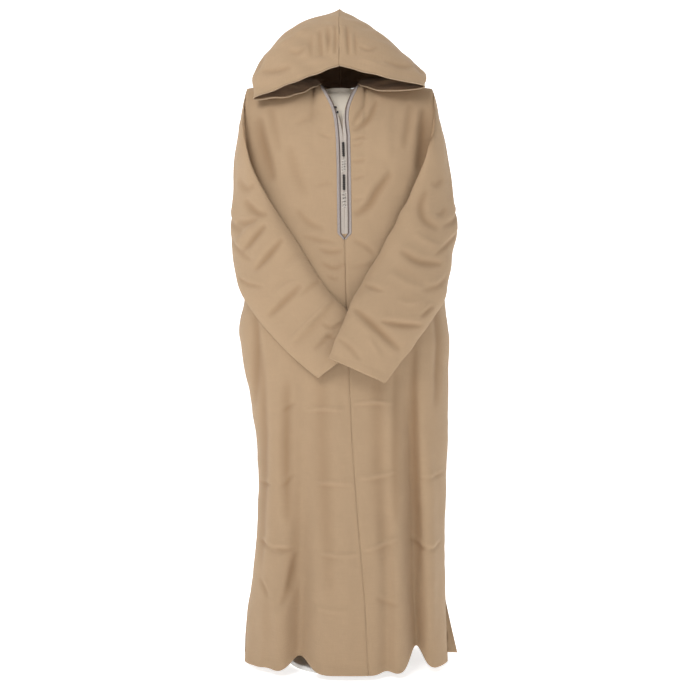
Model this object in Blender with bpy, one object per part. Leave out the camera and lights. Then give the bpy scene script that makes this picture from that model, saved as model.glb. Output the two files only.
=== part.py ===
"""A hooded djellaba filled out by a limbless dress form, its empty sleeves crossed in front.

Metres, +Z up, front towards -Y. The origin is the centre of the base's underside, on the floor.
"""

from math import pi

import bmesh
import bpy
import numpy as np

# Cloth and seams
CLOTH = 0.0020
SLEEVE_CLOTH = 0.0015
SEAM_HALF_GAP = 0.0003
LAYER_GAP = 0.0006

# Heights of the body
HEM = 0.012
SLIT_TOP = 0.150
PLACKET_TOP = 1.244
UNDERARM = 1.117
ARMHOLE_TOP = 1.378
SHOULDER_NECK = 1.394
NECK_FRONT = 1.372

# Widths and depths
ARMHOLE_X = 0.2265
ARMHOLE_LEAN = -0.0045
ARMHOLE_DEPTH = 0.062
ARMHOLE_GAP = 0.0018
NECK_RADIUS = 0.058
NECK_V_HALF = 0.041
NECK_DROP_MARGIN = 0.012
NECK_BOW = 1.9
SLIT_OPENING = 0.012
SLIT_LEAN = 0.6
BACK_FLARE = 0.026
ROUNDNESS = 2.9

# Outlines: (height, value) pairs, joined by smooth curves
LEFT_SIDE = [(0.012, -0.230), (0.10, -0.224), (0.23, -0.206), (0.56, -0.203), (0.65, -0.217),
             (0.72, -0.231), (0.80, -0.240), (0.87, -0.229), (0.97, -0.227), (1.117, -0.231), (1.40, -0.222)]
RIGHT_SIDE = [(0.012, 0.262), (0.10, 0.257), (0.23, 0.253), (0.56, 0.260), (0.70, 0.262),
              (0.775, 0.264), (0.85, 0.255), (0.95, 0.243), (1.117, 0.231), (1.40, 0.222)]
CENTRE_SEAM = [(0.012, 0.067), (0.18, 0.058), (0.36, 0.043), (0.565, 0.029), (0.68, 0.024),
               (1.0, 0.013), (1.244, 0.0085), (1.40, 0.0)]
FRONT_DEPTH = [(0.012, 0.165), (0.25, 0.158), (0.60, 0.148), (0.80, 0.142), (0.95, 0.133),
               (1.117, 0.122), (1.25, 0.114), (1.40, 0.100)]
BACK_DEPTH = [(0.012, 0.165), (0.25, 0.155), (0.60, 0.142), (0.80, 0.132), (0.95, 0.122),
              (1.117, 0.116), (1.25, 0.112), (1.40, 0.100)]

# Folds: x at the hem, x at the top of the fold, its top height, depth at the hem, half-width, lift
FRONT_FOLDS = [(-0.090, -0.080, 0.76, 0.050, 0.030, 0.030), (0.180, 0.150, 0.84, 0.064, 0.022, 0.048),
               (-0.165, -0.128, 0.60, 0.014, 0.020, 0.004), (0.108, 0.112, 0.62, 0.018, 0.018, 0.004),
               (-0.200, -0.205, 0.92, 0.016, 0.020, 0.0)]
BACK_FOLDS = [(-0.155, -0.120, 0.80, 0.044, 0.024, 0.006), (-0.050, -0.025, 0.70, 0.034, 0.026, 0.004),
              (0.075, 0.060, 0.76, 0.038, 0.024, 0.006), (0.185, 0.160, 0.82, 0.044, 0.022, 0.006)]

# Powers that fade a fold up the body and towards the side seam, and its lift off the floor
FOLD_FADE = 1.5
SIDE_FADE = 6
HEM_FADE = 8

# Rows of the body, from the hem to the underarm, and from the underarm to the shoulder
ROW_BUNCHING = 0.9
LOWER_ROWS = 19
UPPER_ROWS = 12
FRONT_COLUMNS = 14
BACK_COLUMNS = 25
SEAM_NORMAL_PULL = 0.1
TOP_NORMAL_RISE = 0.3

# Sleeve stations from armhole to cuff. Each has four points: the inner fold, the outer fold,
# the middle of the layer that shows and the middle of the layer that lies against the body.
RIGHT_SLEEVE = [
    ((0.207, -0.100, 1.210), (0.238, 0.060, 1.193), (0.236, -0.037, 1.308), (0.238, -0.010, 1.098)),
    ((0.181, -0.112, 1.145), (0.253, 0.036, 1.120), (0.253, -0.063, 1.167), (0.242, -0.050, 1.055)),
    ((0.118, -0.139, 1.012), (0.277, -0.012, 1.045), (0.225, -0.122, 1.045), (0.212, -0.092, 1.021)),
    ((0.070, -0.149, 0.927), (0.262, -0.062, 0.955), (0.178, -0.160, 0.945), (0.170, -0.124, 0.942)),
    ((0.033, -0.168, 0.860), (0.241, -0.092, 0.862), (0.143, -0.182, 0.862), (0.138, -0.146, 0.862)),
    ((0.004, -0.184, 0.789), (0.196, -0.138, 0.796), (0.103, -0.197, 0.795), (0.101, -0.172, 0.795)),
    ((-0.023, -0.192, 0.729), (0.102, -0.182, 0.673), (0.040, -0.201, 0.701), (0.040, -0.182, 0.701)),
]
LEFT_SLEEVE = [
    ((-0.213, -0.092, 1.210), (-0.233, 0.055, 1.198), (-0.235, -0.034, 1.301), (-0.236, -0.020, 1.098)),
    ((-0.186, -0.120, 1.136), (-0.242, 0.040, 1.120), (-0.243, -0.057, 1.165), (-0.235, -0.051, 1.055)),
    ((-0.113, -0.136, 1.015), (-0.256, -0.007, 1.035), (-0.212, -0.118, 1.040), (-0.203, -0.089, 1.022)),
    ((-0.063, -0.142, 0.935), (-0.246, -0.050, 0.945), (-0.165, -0.146, 0.940), (-0.160, -0.118, 0.940)),
    ((-0.022, -0.146, 0.878), (-0.224, -0.086, 0.875), (-0.128, -0.156, 0.875), (-0.125, -0.131, 0.875)),
    ((0.030, -0.154, 0.822), (-0.148, -0.130, 0.775), (-0.058, -0.165, 0.800), (-0.058, -0.144, 0.800)),
    ((0.063, -0.157, 0.766), (-0.046, -0.157, 0.684), (0.008, -0.169, 0.725), (0.008, -0.153, 0.725)),
]
# The hidden layer bends later than the one that shows. The wall thins, down to a share of its
# full thickness, where the rings lean over so far that a thick wall would pass through itself.
UNDER_LAYER_BEND = 2.0
NORMAL_BLURS = 2
FULL_WALL_SHEAR = 0.45
THIN_WALL_SHARE = 0.25
SLEEVE_STATIONS = 17
SLEEVE_POINTS = 20

# Hood control net. Rows run from the mouth to the back seam, and the five points of a row run
# from the neck seam out to the fold over the shoulder and up to the centre seam.
HOOD_NET = [
    ((-0.0425, -0.056, 1.3755), (-0.115, -0.090, 1.340), (-0.200, -0.077, 1.337),
     (-0.118, -0.116, 1.360), (-0.0006, -0.112, 1.405)),
    ((-0.0560, -0.024, 1.3960), (-0.130, -0.040, 1.394), (-0.204, -0.022, 1.412),
     (-0.134, -0.062, 1.472), (-0.0006, -0.070, 1.508)),
    ((-0.0520, 0.030, 1.3980), (-0.110, 0.048, 1.410), (-0.150, 0.056, 1.450),
     (-0.104, 0.020, 1.536), (-0.0006, 0.000, 1.570)),
    ((-0.0006, 0.064, 1.3980), (-0.0006, 0.096, 1.430), (-0.0006, 0.108, 1.480),
     (-0.0006, 0.092, 1.538), (-0.0006, 0.046, 1.588)),
]
RIGHT_CORNER_RISE = 0.028
CORNER_RISE_SHARES = (0.4, 1.0, 0.5)
RIGHT_SLOPE_IN = 0.032
HOOD_MIDDLE = (0.0, 0.0, 1.45)
HOOD_TIP_NORMAL = (0.0, 0.35, 0.94)
HOOD_ROWS = 12
HOOD_COLUMNS = 15

# Braid, cords and buttons
BRAID_INNER = 0.0085
BRAID_WIDTH = 0.0070
BRAID_THICK = 0.0012
CORD_RADIUS = 0.0016
BUTTON_RADIUS = 0.0021
BUTTON_WAIST = 0.62
BUTTONS_PER_BAR = 5
KNOT_RADIUS = 0.0024
KNOT_HEIGHTS = (1.297, 1.309)
BRAID_FIRST_ROW = 16
BRAID_EDGE = 0.0012
BRAID_CLOSING = 0.075
CORD_SKIP = 1
CORD_TIP_SHARE = 0.2
DARK_BARS = [(1.183, 1.218), (1.108, 1.143)]
PALE_BARS = [(1.150, 1.176), (1.066, 1.098)]

# Dress form: (height, half-width, half-depth)
FORM_OUTLINE = [(0.700, 0.150, 0.092), (0.708, 0.162, 0.104), (0.780, 0.172, 0.112), (0.900, 0.160, 0.104),
                (0.980, 0.146, 0.094), (1.100, 0.166, 0.100), (1.200, 0.184, 0.100), (1.270, 0.192, 0.092),
                (1.310, 0.190, 0.078), (1.332, 0.172, 0.066), (1.346, 0.128, 0.058), (1.354, 0.070, 0.052),
                (1.360, 0.049, 0.046), (1.370, 0.045, 0.043)]
FORM_SIDES = 32
FORM_SQUARENESS = 0.9
POLE_RADIUS = 0.0125
BASE_RADIUS = 0.124
BASE_HEIGHT = 0.012

BEIGE = (0.50, 0.36, 0.235)
CREAM = (0.66, 0.57, 0.47)
LILAC = (0.42, 0.36, 0.35)
BLACK = (0.02, 0.015, 0.012)
ENAMEL = (0.80, 0.79, 0.77)


def clear_scene():
    for item in list(bpy.data.objects):
        bpy.data.objects.remove(item, do_unlink=True)


def make_material(name, colour, roughness, metallic=0.0):
    material = bpy.data.materials.new(name)
    material.use_nodes = True
    shader = material.node_tree.nodes["Principled BSDF"]
    shader.inputs["Base Color"].default_value = (*colour, 1.0)
    shader.inputs["Roughness"].default_value = roughness
    shader.inputs["Metallic"].default_value = metallic
    return material


def add_mesh(name, points, faces, material):
    """Puts points and faces into an object whose faces all point outwards."""
    mesh = bpy.data.meshes.new(name)
    mesh.from_pydata([tuple(point) for point in points], [], faces)
    work = bmesh.new()
    work.from_mesh(mesh)
    bmesh.ops.recalc_face_normals(work, faces=work.faces)
    if work.calc_volume(signed=True) < 0:
        bmesh.ops.reverse_faces(work, faces=work.faces)
    work.to_mesh(mesh)
    work.free()
    mesh.shade_smooth()
    mesh.materials.append(material)
    item = bpy.data.objects.new(name, mesh)
    bpy.context.scene.collection.objects.link(item)
    return item


def curve_at(where, knots):
    """A smooth curve through (place, value) knots: cubic pieces whose slopes are the neighbours' average."""
    places = np.array([knot[0] for knot in knots], float)
    values = np.array([knot[1] for knot in knots], float)
    slopes = np.gradient(values, places, axis=0)
    where = np.clip(np.asarray(where, float), places[0], places[-1])
    piece = np.clip(np.searchsorted(places, where) - 1, 0, len(places) - 2)
    width = places[piece + 1] - places[piece]
    part = (where - places[piece]) / width
    if values.ndim > 1:
        part, width = part[..., None], width[..., None]
    start = values[piece] * (1 + 2 * part) * (1 - part) ** 2 + slopes[piece] * width * part * (1 - part) ** 2
    end = values[piece + 1] * (3 - 2 * part) * part**2 + slopes[piece + 1] * width * part**2 * (part - 1)
    return start + end


def along_stations(stations, count):
    """Points at equal steps of a smooth curve through stations, as an array (count, ...)."""
    knots = [(float(place), np.array(value, float)) for place, value in enumerate(stations)]
    flat = [(place, value.reshape(-1)) for place, value in knots]
    steps = np.linspace(0, len(stations) - 1, count)
    return curve_at(steps, flat).reshape((count, *knots[0][1].shape))


def grid_normals(grid, wraps):
    """Unit normals of a grid of points, from the directions along its rows and columns."""
    along = np.gradient(grid, axis=0)
    if wraps:
        across = (np.roll(grid, -1, axis=1) - np.roll(grid, 1, axis=1)) / 2
    else:
        across = np.gradient(grid, axis=1)
    normals = np.cross(along, across)
    return normals / np.linalg.norm(normals, axis=2, keepdims=True)


def wall_faces(rows, columns, wraps):
    """Faces of a wall: the outer grid, the inner grid and the strips that close its open edges."""
    faces = []
    inner = rows * columns
    spans = columns if wraps else columns - 1
    for row in range(rows - 1):
        for column in range(spans):
            right = (column + 1) % columns
            a, b = row * columns + column, row * columns + right
            c, d = a + columns, b + columns
            faces.append((a, b, d, c))
            faces.append((inner + a, inner + c, inner + d, inner + b))
    for row in (0, rows - 1):
        for column in range(spans):
            right = (column + 1) % columns
            a, b = row * columns + column, row * columns + right
            faces.append((a, b, inner + b, inner + a))
    if not wraps:
        for column in (0, columns - 1):
            for row in range(rows - 1):
                a, c = row * columns + column, (row + 1) * columns + column
                faces.append((a, c, inner + c, inner + a))
    return faces


def make_wall(name, outer, inner, material, wraps=False):
    rows, columns = outer.shape[:2]
    points = np.concatenate([outer.reshape(-1, 3), inner.reshape(-1, 3)])
    return add_mesh(name, points, wall_faces(rows, columns, wraps), material)


def body_rows():
    """For each row of the body: its height below the underarm, and its share of the way up to the shoulder."""
    lower = HEM + (UNDERARM - HEM) * np.linspace(0, 1, LOWER_ROWS) ** ROW_BUNCHING
    upper = 0.5 - 0.5 * np.cos(np.linspace(0, pi, UPPER_ROWS))
    heights = np.concatenate([lower, np.full(UPPER_ROWS - 1, UNDERARM)])
    shares = np.concatenate([np.zeros(LOWER_ROWS), upper[1:]])
    return heights[:, None], shares[:, None]


def side_share(x, z):
    """How far x is from the body's middle towards its side, from 0 to 1."""
    left = curve_at(z, LEFT_SIDE)
    right = curve_at(z, RIGHT_SIDE)
    return np.clip(np.abs(2 * x - left - right) / (right - left), 0, 1)


def body_depth(x, z, share, outline):
    """Depth of the body's cloth, front or back, before folds: a rounded curve that closes at the shoulder."""
    out = side_share(x, z)
    full = curve_at(z, outline) * np.sqrt(1 - out**ROUNDNESS)
    armhole = ARMHOLE_DEPTH * np.sqrt(np.clip(1 - (2 * share - 1) ** 2, 0, 1))
    neck = np.sqrt(np.clip(NECK_RADIUS**2 - x**2, 0, None))
    return np.hypot(full * np.sqrt(1 - share**3), armhole * out**4) + neck * share**4


def top_height(x):
    """Height of the shoulder seam and the neck edge over the width."""
    out = np.clip((np.abs(x) - NECK_RADIUS) / (ARMHOLE_X - NECK_RADIUS), 0, 1)
    return SHOULDER_NECK + (ARMHOLE_TOP - SHOULDER_NECK) * out**1.5


def front_top_height(x):
    """The same for the front, whose neck edge drops to the top of the neck opening."""
    reach = NECK_RADIUS + NECK_DROP_MARGIN
    drop = np.clip((reach - np.abs(x)) / (reach - NECK_V_HALF), 0, 1)
    return top_height(x) - (SHOULDER_NECK - NECK_FRONT) * drop


def add_folds(grid, folds, sign):
    """Presses soft vertical troughs into a body panel; each fades out at its top and lifts the hem a little."""
    x, z = grid[..., 0].copy(), grid[..., 2].copy()
    for hem_x, top_x, top, depth, width, lift in folds:
        up = np.clip((z - HEM) / (top - HEM), 0, 1)
        centre = hem_x + (top_x - hem_x) * up
        fade = (1 - up**FOLD_FADE) * (1 - side_share(x, z) ** SIDE_FADE)
        strength = np.exp(-(((x - centre) / width) ** 2)) * fade
        grid[..., 1] -= sign * depth * strength
        grid[..., 2] += lift * strength * (1 - up) ** HEM_FADE
    return grid


def slit(z):
    """How far a panel's edge stands off the side seam's plane, inside the open slit and above it."""
    return SEAM_HALF_GAP + SLIT_OPENING * np.clip(1 - z / SLIT_TOP, 0, 1)


def neck_edge(opening, side):
    """The front's neck edge: from the top of the placket, where opening is 0, out to the neck circle."""
    return side * NECK_V_HALF * opening**NECK_BOW


def front_grid(side):
    """Points of one front half; side is -1 for left and 1 for right. Columns run from the centre outwards."""
    height, share = body_rows()
    z_centre = height + (NECK_FRONT - UNDERARM) * share
    opening = np.clip((z_centre - PLACKET_TOP) / (NECK_FRONT - PLACKET_TOP), 0, 1)
    inner = curve_at(z_centre, CENTRE_SEAM) * (1 - opening) + side * SEAM_HALF_GAP + neck_edge(opening, side)
    outline = RIGHT_SIDE if side > 0 else LEFT_SIDE
    outer = curve_at(height, outline) - side * SLIT_LEAN * np.clip(slit(height) - SEAM_HALF_GAP, 0, None)
    tilt = side * (ARMHOLE_X + ARMHOLE_LEAN * (2 * share - 1))
    outer = np.where(share > 0, tilt, outer)
    spread = np.sin(np.linspace(0, pi / 2, FRONT_COLUMNS))[None, :]
    x = inner + (outer - inner) * spread
    z = height + (front_top_height(x) - UNDERARM) * share
    depth = body_depth(x, np.maximum(height, z), share, FRONT_DEPTH)
    y = -depth - slit(height) * side_share(x, z) ** 8
    y[:, -1] = -(depth[:, -1] + slit(height)[:, 0])
    return add_folds(np.stack([x, y, z], axis=2), FRONT_FOLDS, -1)


def back_grid():
    """Points of the back. Columns run from left to right."""
    height, share = body_rows()
    left = curve_at(height, LEFT_SIDE)
    right = curve_at(height, RIGHT_SIDE)
    tilt = ARMHOLE_X + ARMHOLE_LEAN * (2 * share - 1)
    left = np.where(share > 0, -tilt, left)
    right = np.where(share > 0, tilt, right + BACK_FLARE * np.clip(1 - height / SLIT_TOP, 0, 1))
    spread = np.sin(np.linspace(-pi / 2, pi / 2, BACK_COLUMNS))[None, :]
    x = (left + right) / 2 + (right - left) / 2 * spread
    z = height + (top_height(x) - UNDERARM) * share
    depth = body_depth(x, np.maximum(height, z), share, BACK_DEPTH)
    y = depth + slit(height) * side_share(x, z) ** 8
    for column in (0, -1):
        y[:, column] = depth[:, column] + slit(height)[:, 0]
    return add_folds(np.stack([x, y, z], axis=2), BACK_FOLDS, 1)


def body_wall(name, grid, flat_edges, material):
    """A panel's wall: its grid and the same grid moved in. Each (column, axis) edge keeps to its seam's plane."""
    normals = grid_normals(grid, False)
    normals *= np.sign((normals[..., 1] * grid[..., 1]).sum())
    for column, axis in flat_edges:
        normals[:, column, axis] = 0
        normals[:, column, 1 - axis] += SEAM_NORMAL_PULL * np.sign(grid[LOWER_ROWS // 2, column, 1 - axis])
    normals[-1, :, 1] = 0
    normals[-1, :, 2] = np.maximum(normals[-1, :, 2], TOP_NORMAL_RISE)
    normals[0, :, 2] = 0
    normals /= np.linalg.norm(normals, axis=2, keepdims=True)
    make_wall(name, grid, grid - normals * CLOTH, material)


def sleeve_section(corners):
    """One ring of a sleeve: a flat round-edged tube bent over the body, through its four corner points."""
    inner, outer, shown, hidden = corners
    middle = (inner + outer) / 2
    angles = 2 * pi * np.arange(SLEEVE_POINTS)[:, None] / SLEEVE_POINTS
    swell = np.abs(np.sin(angles))
    share = np.where(np.sin(angles) > 0, swell, swell**UNDER_LAYER_BEND)
    bend = share * ((shown + hidden) / 2 - middle)
    flat = middle + np.cos(angles) * (inner - outer) / 2
    return flat + bend + np.sin(angles) * (shown - hidden) / 2


def sleeve_stations(stations, side):
    """The sleeve's stations from the armhole's ellipse, one seam's gap outside the body, to the cuff."""
    middle = np.array([side * (ARMHOLE_X + ARMHOLE_GAP), 0, (UNDERARM + ARMHOLE_TOP) / 2])
    up = np.array([side * ARMHOLE_LEAN, 0, (ARMHOLE_TOP - UNDERARM) / 2])
    depth = np.array([0, ARMHOLE_DEPTH, 0])
    armhole = (middle - depth, middle + depth, middle + up, middle - up)
    return along_stations([armhole, *stations], SLEEVE_STATIONS)


def grid_shear(grid):
    """How square a ring grid's cells are: the sine of the angle between its two directions at each point."""
    along = np.gradient(grid, axis=0)
    across = np.roll(grid, -1, axis=1) - np.roll(grid, 1, axis=1)
    lengths = np.linalg.norm(along, axis=2) * np.linalg.norm(across, axis=2)
    return np.linalg.norm(np.cross(along, across), axis=2) / lengths


def make_sleeve(name, stations, side, material):
    """A sleeve's wall. The cuff's ring keeps to its own plane, so that its edge of cloth stays square.

    The wall is thinner where the cloth folds sharply over the armhole, so that its two faces never meet.
    """
    grid = np.stack([sleeve_section(station) for station in sleeve_stations(stations, side)])
    normals = grid_normals(grid, True)
    normals *= np.sign((normals * (grid - grid.mean(axis=1, keepdims=True))).sum())
    cuff = grid[-1] - grid[-1].mean(axis=0)
    plane = np.cross(cuff[0], cuff[SLEEVE_POINTS // 4])
    plane /= np.linalg.norm(plane)
    for _ in range(NORMAL_BLURS):
        around = np.roll(normals, 1, axis=1) + np.roll(normals, -1, axis=1) + 2 * normals
        ends = np.concatenate([around[:1], around, around[-1:]])
        normals = ends[:-2] + ends[2:] + 2 * around
        normals /= np.linalg.norm(normals, axis=2, keepdims=True)
    normals[-1] -= (normals[-1] @ plane)[:, None] * plane
    normals /= np.linalg.norm(normals, axis=2, keepdims=True)
    thickness = SLEEVE_CLOTH * np.clip(grid_shear(grid) / FULL_WALL_SHEAR, THIN_WALL_SHARE, 1)
    make_wall(name, grid, grid - normals * thickness[..., None], material, wraps=True)


def hood_grid(side):
    """Points of one hood half, from the control net. Rows run from the mouth back, columns from neck to seam."""
    net = np.array(HOOD_NET)
    net[:, :, 0] *= -side
    if side > 0:
        net[0, 1:4, 2] += RIGHT_CORNER_RISE * np.array(CORNER_RISE_SHARES)
        net[1:3, 3, 0] -= RIGHT_SLOPE_IN
    rows = along_stations(list(net), HOOD_ROWS)
    columns = along_stations(list(rows.transpose(1, 0, 2)), HOOD_COLUMNS)
    return columns.transpose(1, 0, 2)


def seam_normals(seam):
    """Normals along a seam that lies in the middle plane: square to it, in that plane, away from the hollow."""
    along = np.gradient(seam, axis=0)
    normals = np.stack([np.zeros(len(seam)), along[:, 2], -along[:, 1]], axis=1)
    away = seam - np.array(HOOD_MIDDLE)
    return normals * np.sign((normals * away).sum(axis=1, keepdims=True))


def make_hood(name, side, material):
    grid = hood_grid(side)
    normals = grid_normals(grid, False)
    normals *= np.sign(normals[HOOD_ROWS // 2, HOOD_COLUMNS // 2, 0] * side)
    normals[:, -1] = seam_normals(grid[:, -1])
    normals[-1] = seam_normals(grid[-1])
    normals[-1, -1] = HOOD_TIP_NORMAL
    normals /= np.linalg.norm(normals, axis=2, keepdims=True)
    make_wall(name, grid, grid - normals * CLOTH, material)


def on_panel(grid, first_row, distance):
    """Points and normals of a panel from first_row up, at a distance along each row from its first column."""
    rows = grid[first_row:]
    normals = grid_normals(grid, False)[first_row:]
    normals *= -np.sign(normals[..., 1].sum())
    steps = np.linalg.norm(np.diff(rows, axis=1), axis=2)
    along = np.concatenate([np.zeros((len(rows), 1)), np.cumsum(steps, axis=1)], axis=1)
    points = np.empty((len(rows), 3))
    outward = np.empty((len(rows), 3))
    for row in range(len(rows)):
        for axis in range(3):
            points[row, axis] = np.interp(distance[row], along[row], rows[row, :, axis])
            outward[row, axis] = np.interp(distance[row], along[row], normals[row, :, axis])
    return points, outward / np.linalg.norm(outward, axis=1, keepdims=True)


def make_braid(name, side, material):
    """A flat braid on a front half: clear of the closed placket's middle, then close along the neck edge."""
    grid = front_grid(side)
    opening = np.clip((grid[BRAID_FIRST_ROW:, 0, 2] - PLACKET_TOP) / BRAID_CLOSING, 0, 1)
    start = BRAID_INNER + (BRAID_EDGE - BRAID_INNER) * opening
    near, near_out = on_panel(grid, BRAID_FIRST_ROW, start)
    far, far_out = on_panel(grid, BRAID_FIRST_ROW, start + BRAID_WIDTH)
    points = np.stack([near, far], axis=1)
    outward = np.stack([near_out, far_out], axis=1)
    make_wall(name, points + outward * (LAYER_GAP + BRAID_THICK), points + outward * LAYER_GAP, material)


def tube_rings(path, radii, sides):
    """Rings of a tube along a path of points, each ring square to the path."""
    along = np.gradient(path, axis=0)
    along /= np.linalg.norm(along, axis=1, keepdims=True)
    across = np.cross(along, HOOD_TIP_NORMAL)
    across /= np.linalg.norm(across, axis=1, keepdims=True)
    third = np.cross(along, across)
    angles = 2 * pi * np.arange(sides) / sides
    ring = np.cos(angles)[None, :, None] * across[:, None] + np.sin(angles)[None, :, None] * third[:, None]
    return path[:, None] + ring * np.asarray(radii)[:, None, None]


def make_closed_loft(name, rings, material):
    """A solid through closed rings, its two ends filled by one face each."""
    count, sides = rings.shape[:2]
    faces = [tuple(range(sides)), tuple(range((count - 1) * sides, count * sides))]
    for ring in range(count - 1):
        for point in range(sides):
            right = (point + 1) % sides
            a, b = ring * sides + point, ring * sides + right
            faces.append((a, b, b + sides, a + sides))
    return add_mesh(name, rings.reshape(-1, 3), faces, material)


def make_hood_cord(name, side, material):
    """The cord along one half of the hood's mouth."""
    grid = hood_grid(side)
    away = grid[0] - grid[1]
    away /= np.linalg.norm(away, axis=1, keepdims=True)
    path = (grid[0] + away * (CORD_RADIUS + LAYER_GAP))[CORD_SKIP:]
    path[-1, 0] = side * (CORD_RADIUS * CORD_TIP_SHARE + SEAM_HALF_GAP)
    make_closed_loft(name, tube_rings(path, np.full(len(path), CORD_RADIUS), 6), material)


def placket_point(z, lift):
    """A point over the centre seam at height z, lifted off the cloth."""
    x = float(curve_at(z, CENTRE_SEAM))
    share = (z - UNDERARM) / (SHOULDER_NECK - UNDERARM)
    depth = body_depth(np.array(x), np.array(z), np.clip(share, 0, 1), FRONT_DEPTH)
    return np.array([x, -float(depth) - lift, z])


def make_button_bar(name, low, high, material):
    """A row of small round buttons that touch: one tube whose radius swells at each button."""
    steps = 4 * BUTTONS_PER_BAR + 1
    share = np.linspace(0, 1, steps)
    lift = BUTTON_RADIUS + 2 * LAYER_GAP
    start, end = placket_point(low, lift), placket_point(high, lift)
    path = start + (end - start) * share[:, None]
    radii = BUTTON_RADIUS * (BUTTON_WAIST + (1 - BUTTON_WAIST) * np.abs(np.sin(pi * BUTTONS_PER_BAR * share)))
    make_closed_loft(name, tube_rings(path, radii, 6), material)


def make_knot(name, z, material):
    """A round knot of cord on the left neck edge."""
    grid = front_grid(-1)
    edge = np.array([np.interp(z, grid[:, 0, 2], grid[:, 0, axis]) for axis in range(3)])
    bpy.ops.mesh.primitive_uv_sphere_add(segments=10, ring_count=6, radius=KNOT_RADIUS)
    knot = bpy.context.object
    knot.name = name
    knot.data.name = name
    knot.location = edge + np.array([0, -(KNOT_RADIUS + 3 * LAYER_GAP + BRAID_THICK), 0])
    knot.data.shade_smooth()
    knot.data.materials.append(material)


def make_form_body(material):
    """The form's torso and short neck: rounded rings of the outline."""
    angles = 2 * pi * np.arange(FORM_SIDES) / FORM_SIDES
    round_x = np.sign(np.cos(angles)) * np.abs(np.cos(angles)) ** FORM_SQUARENESS
    round_y = np.sign(np.sin(angles)) * np.abs(np.sin(angles)) ** FORM_SQUARENESS
    rings = [np.stack([width * round_x, depth * round_y, np.full(FORM_SIDES, z)], axis=1)
             for z, width, depth in FORM_OUTLINE]
    make_closed_loft("form_body", np.array(rings), material)


def make_turned(name, profile, sides, material):
    """A round solid about the Z axis from (height, radius) pairs."""
    angles = 2 * pi * np.arange(sides) / sides
    rings = [np.stack([radius * np.cos(angles), radius * np.sin(angles), np.full(sides, z)], axis=1)
             for z, radius in profile]
    make_closed_loft(name, np.array(rings), material)


def make_stand(material):
    """The round foot that lies on the floor and the pole that carries the form."""
    edge = BASE_HEIGHT / 3
    make_turned("form_base", [(0, BASE_RADIUS), (BASE_HEIGHT - edge, BASE_RADIUS),
                              (BASE_HEIGHT, BASE_RADIUS - edge)], 48, material)
    bottom = BASE_HEIGHT + SEAM_HALF_GAP
    top = FORM_OUTLINE[0][0] - SEAM_HALF_GAP
    make_turned("form_pole", [(bottom, POLE_RADIUS), (top, POLE_RADIUS)], 24, material)


def main():
    clear_scene()
    cloth = make_material("beige_cloth", BEIGE, 0.9)
    braid = make_material("lilac_braid", LILAC, 0.7)
    cord = make_material("pale_cord", CREAM, 0.8)
    black = make_material("black_cord", BLACK, 0.5)
    body_wall("front_left", front_grid(-1), [(0, 0), (-1, 1)], cloth)
    body_wall("front_right", front_grid(1), [(0, 0), (-1, 1)], cloth)
    body_wall("back", back_grid(), [(0, 1), (-1, 1)], cloth)
    make_sleeve("sleeve_left", LEFT_SLEEVE, -1, cloth)
    make_sleeve("sleeve_right", RIGHT_SLEEVE, 1, cloth)
    for side, name in ((-1, "left"), (1, "right")):
        make_hood("hood_" + name, side, cloth)
        make_hood_cord("hood_cord_" + name, side, cord)
        make_braid("braid_" + name, side, braid)
    for number, (low, high) in enumerate(DARK_BARS, 1):
        make_button_bar(f"buttons_dark_{number}", low, high, black)
    for number, (low, high) in enumerate(PALE_BARS, 1):
        make_button_bar(f"buttons_pale_{number}", low, high, cord)
    for number, z in enumerate(KNOT_HEIGHTS, 1):
        make_knot(f"knot_{number}", z, black)
    make_form_body(make_material("cream_form", CREAM, 0.75))
    make_stand(make_material("white_enamel", ENAMEL, 0.4))


main()
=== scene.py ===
from math import pi
import bpy
import numpy as np
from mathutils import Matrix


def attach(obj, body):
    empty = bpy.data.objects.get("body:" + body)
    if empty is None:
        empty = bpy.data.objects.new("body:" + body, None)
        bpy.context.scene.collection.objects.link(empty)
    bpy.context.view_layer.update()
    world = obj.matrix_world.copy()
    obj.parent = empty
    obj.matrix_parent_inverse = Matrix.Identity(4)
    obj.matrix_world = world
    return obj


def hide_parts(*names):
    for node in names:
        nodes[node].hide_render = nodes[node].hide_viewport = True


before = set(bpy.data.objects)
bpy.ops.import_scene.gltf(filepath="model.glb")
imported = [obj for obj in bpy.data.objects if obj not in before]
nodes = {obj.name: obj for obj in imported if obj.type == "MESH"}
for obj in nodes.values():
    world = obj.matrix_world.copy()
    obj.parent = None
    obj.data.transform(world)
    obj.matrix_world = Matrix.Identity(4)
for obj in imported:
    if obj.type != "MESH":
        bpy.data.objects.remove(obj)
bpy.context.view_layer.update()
print("djellaba: frame loaded,", len(nodes), "nodes")


cloth = {
    "thickness": 0.0011,      # gabardine, with its seam turnings
    "hem": 0.012,             # height of the hem over the floor
    "slitTop": 0.150,         # top of the side slits
    "slitOpening": 0.012,
    "placketTop": 1.244,      # where the neck opening starts to spread
    "underarm": 1.117,
    "armholeTop": 1.378,
    "shoulderNeck": 1.394,
    "neckFront": 1.372,
    "armholeX": 0.2265,
    "armholeLean": -0.0045,
    "armholeDepth": 0.062,
    "neckRadius": 0.058,
    "neckDrop": 0.012,
    "neckHalf": 0.041,
    "neckBow": 1.9,
    "seamGap": 0.0003,
    "slitShare": 0.6,
    "backFlare": 0.026,
    "roundness": 2.9,
}

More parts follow.
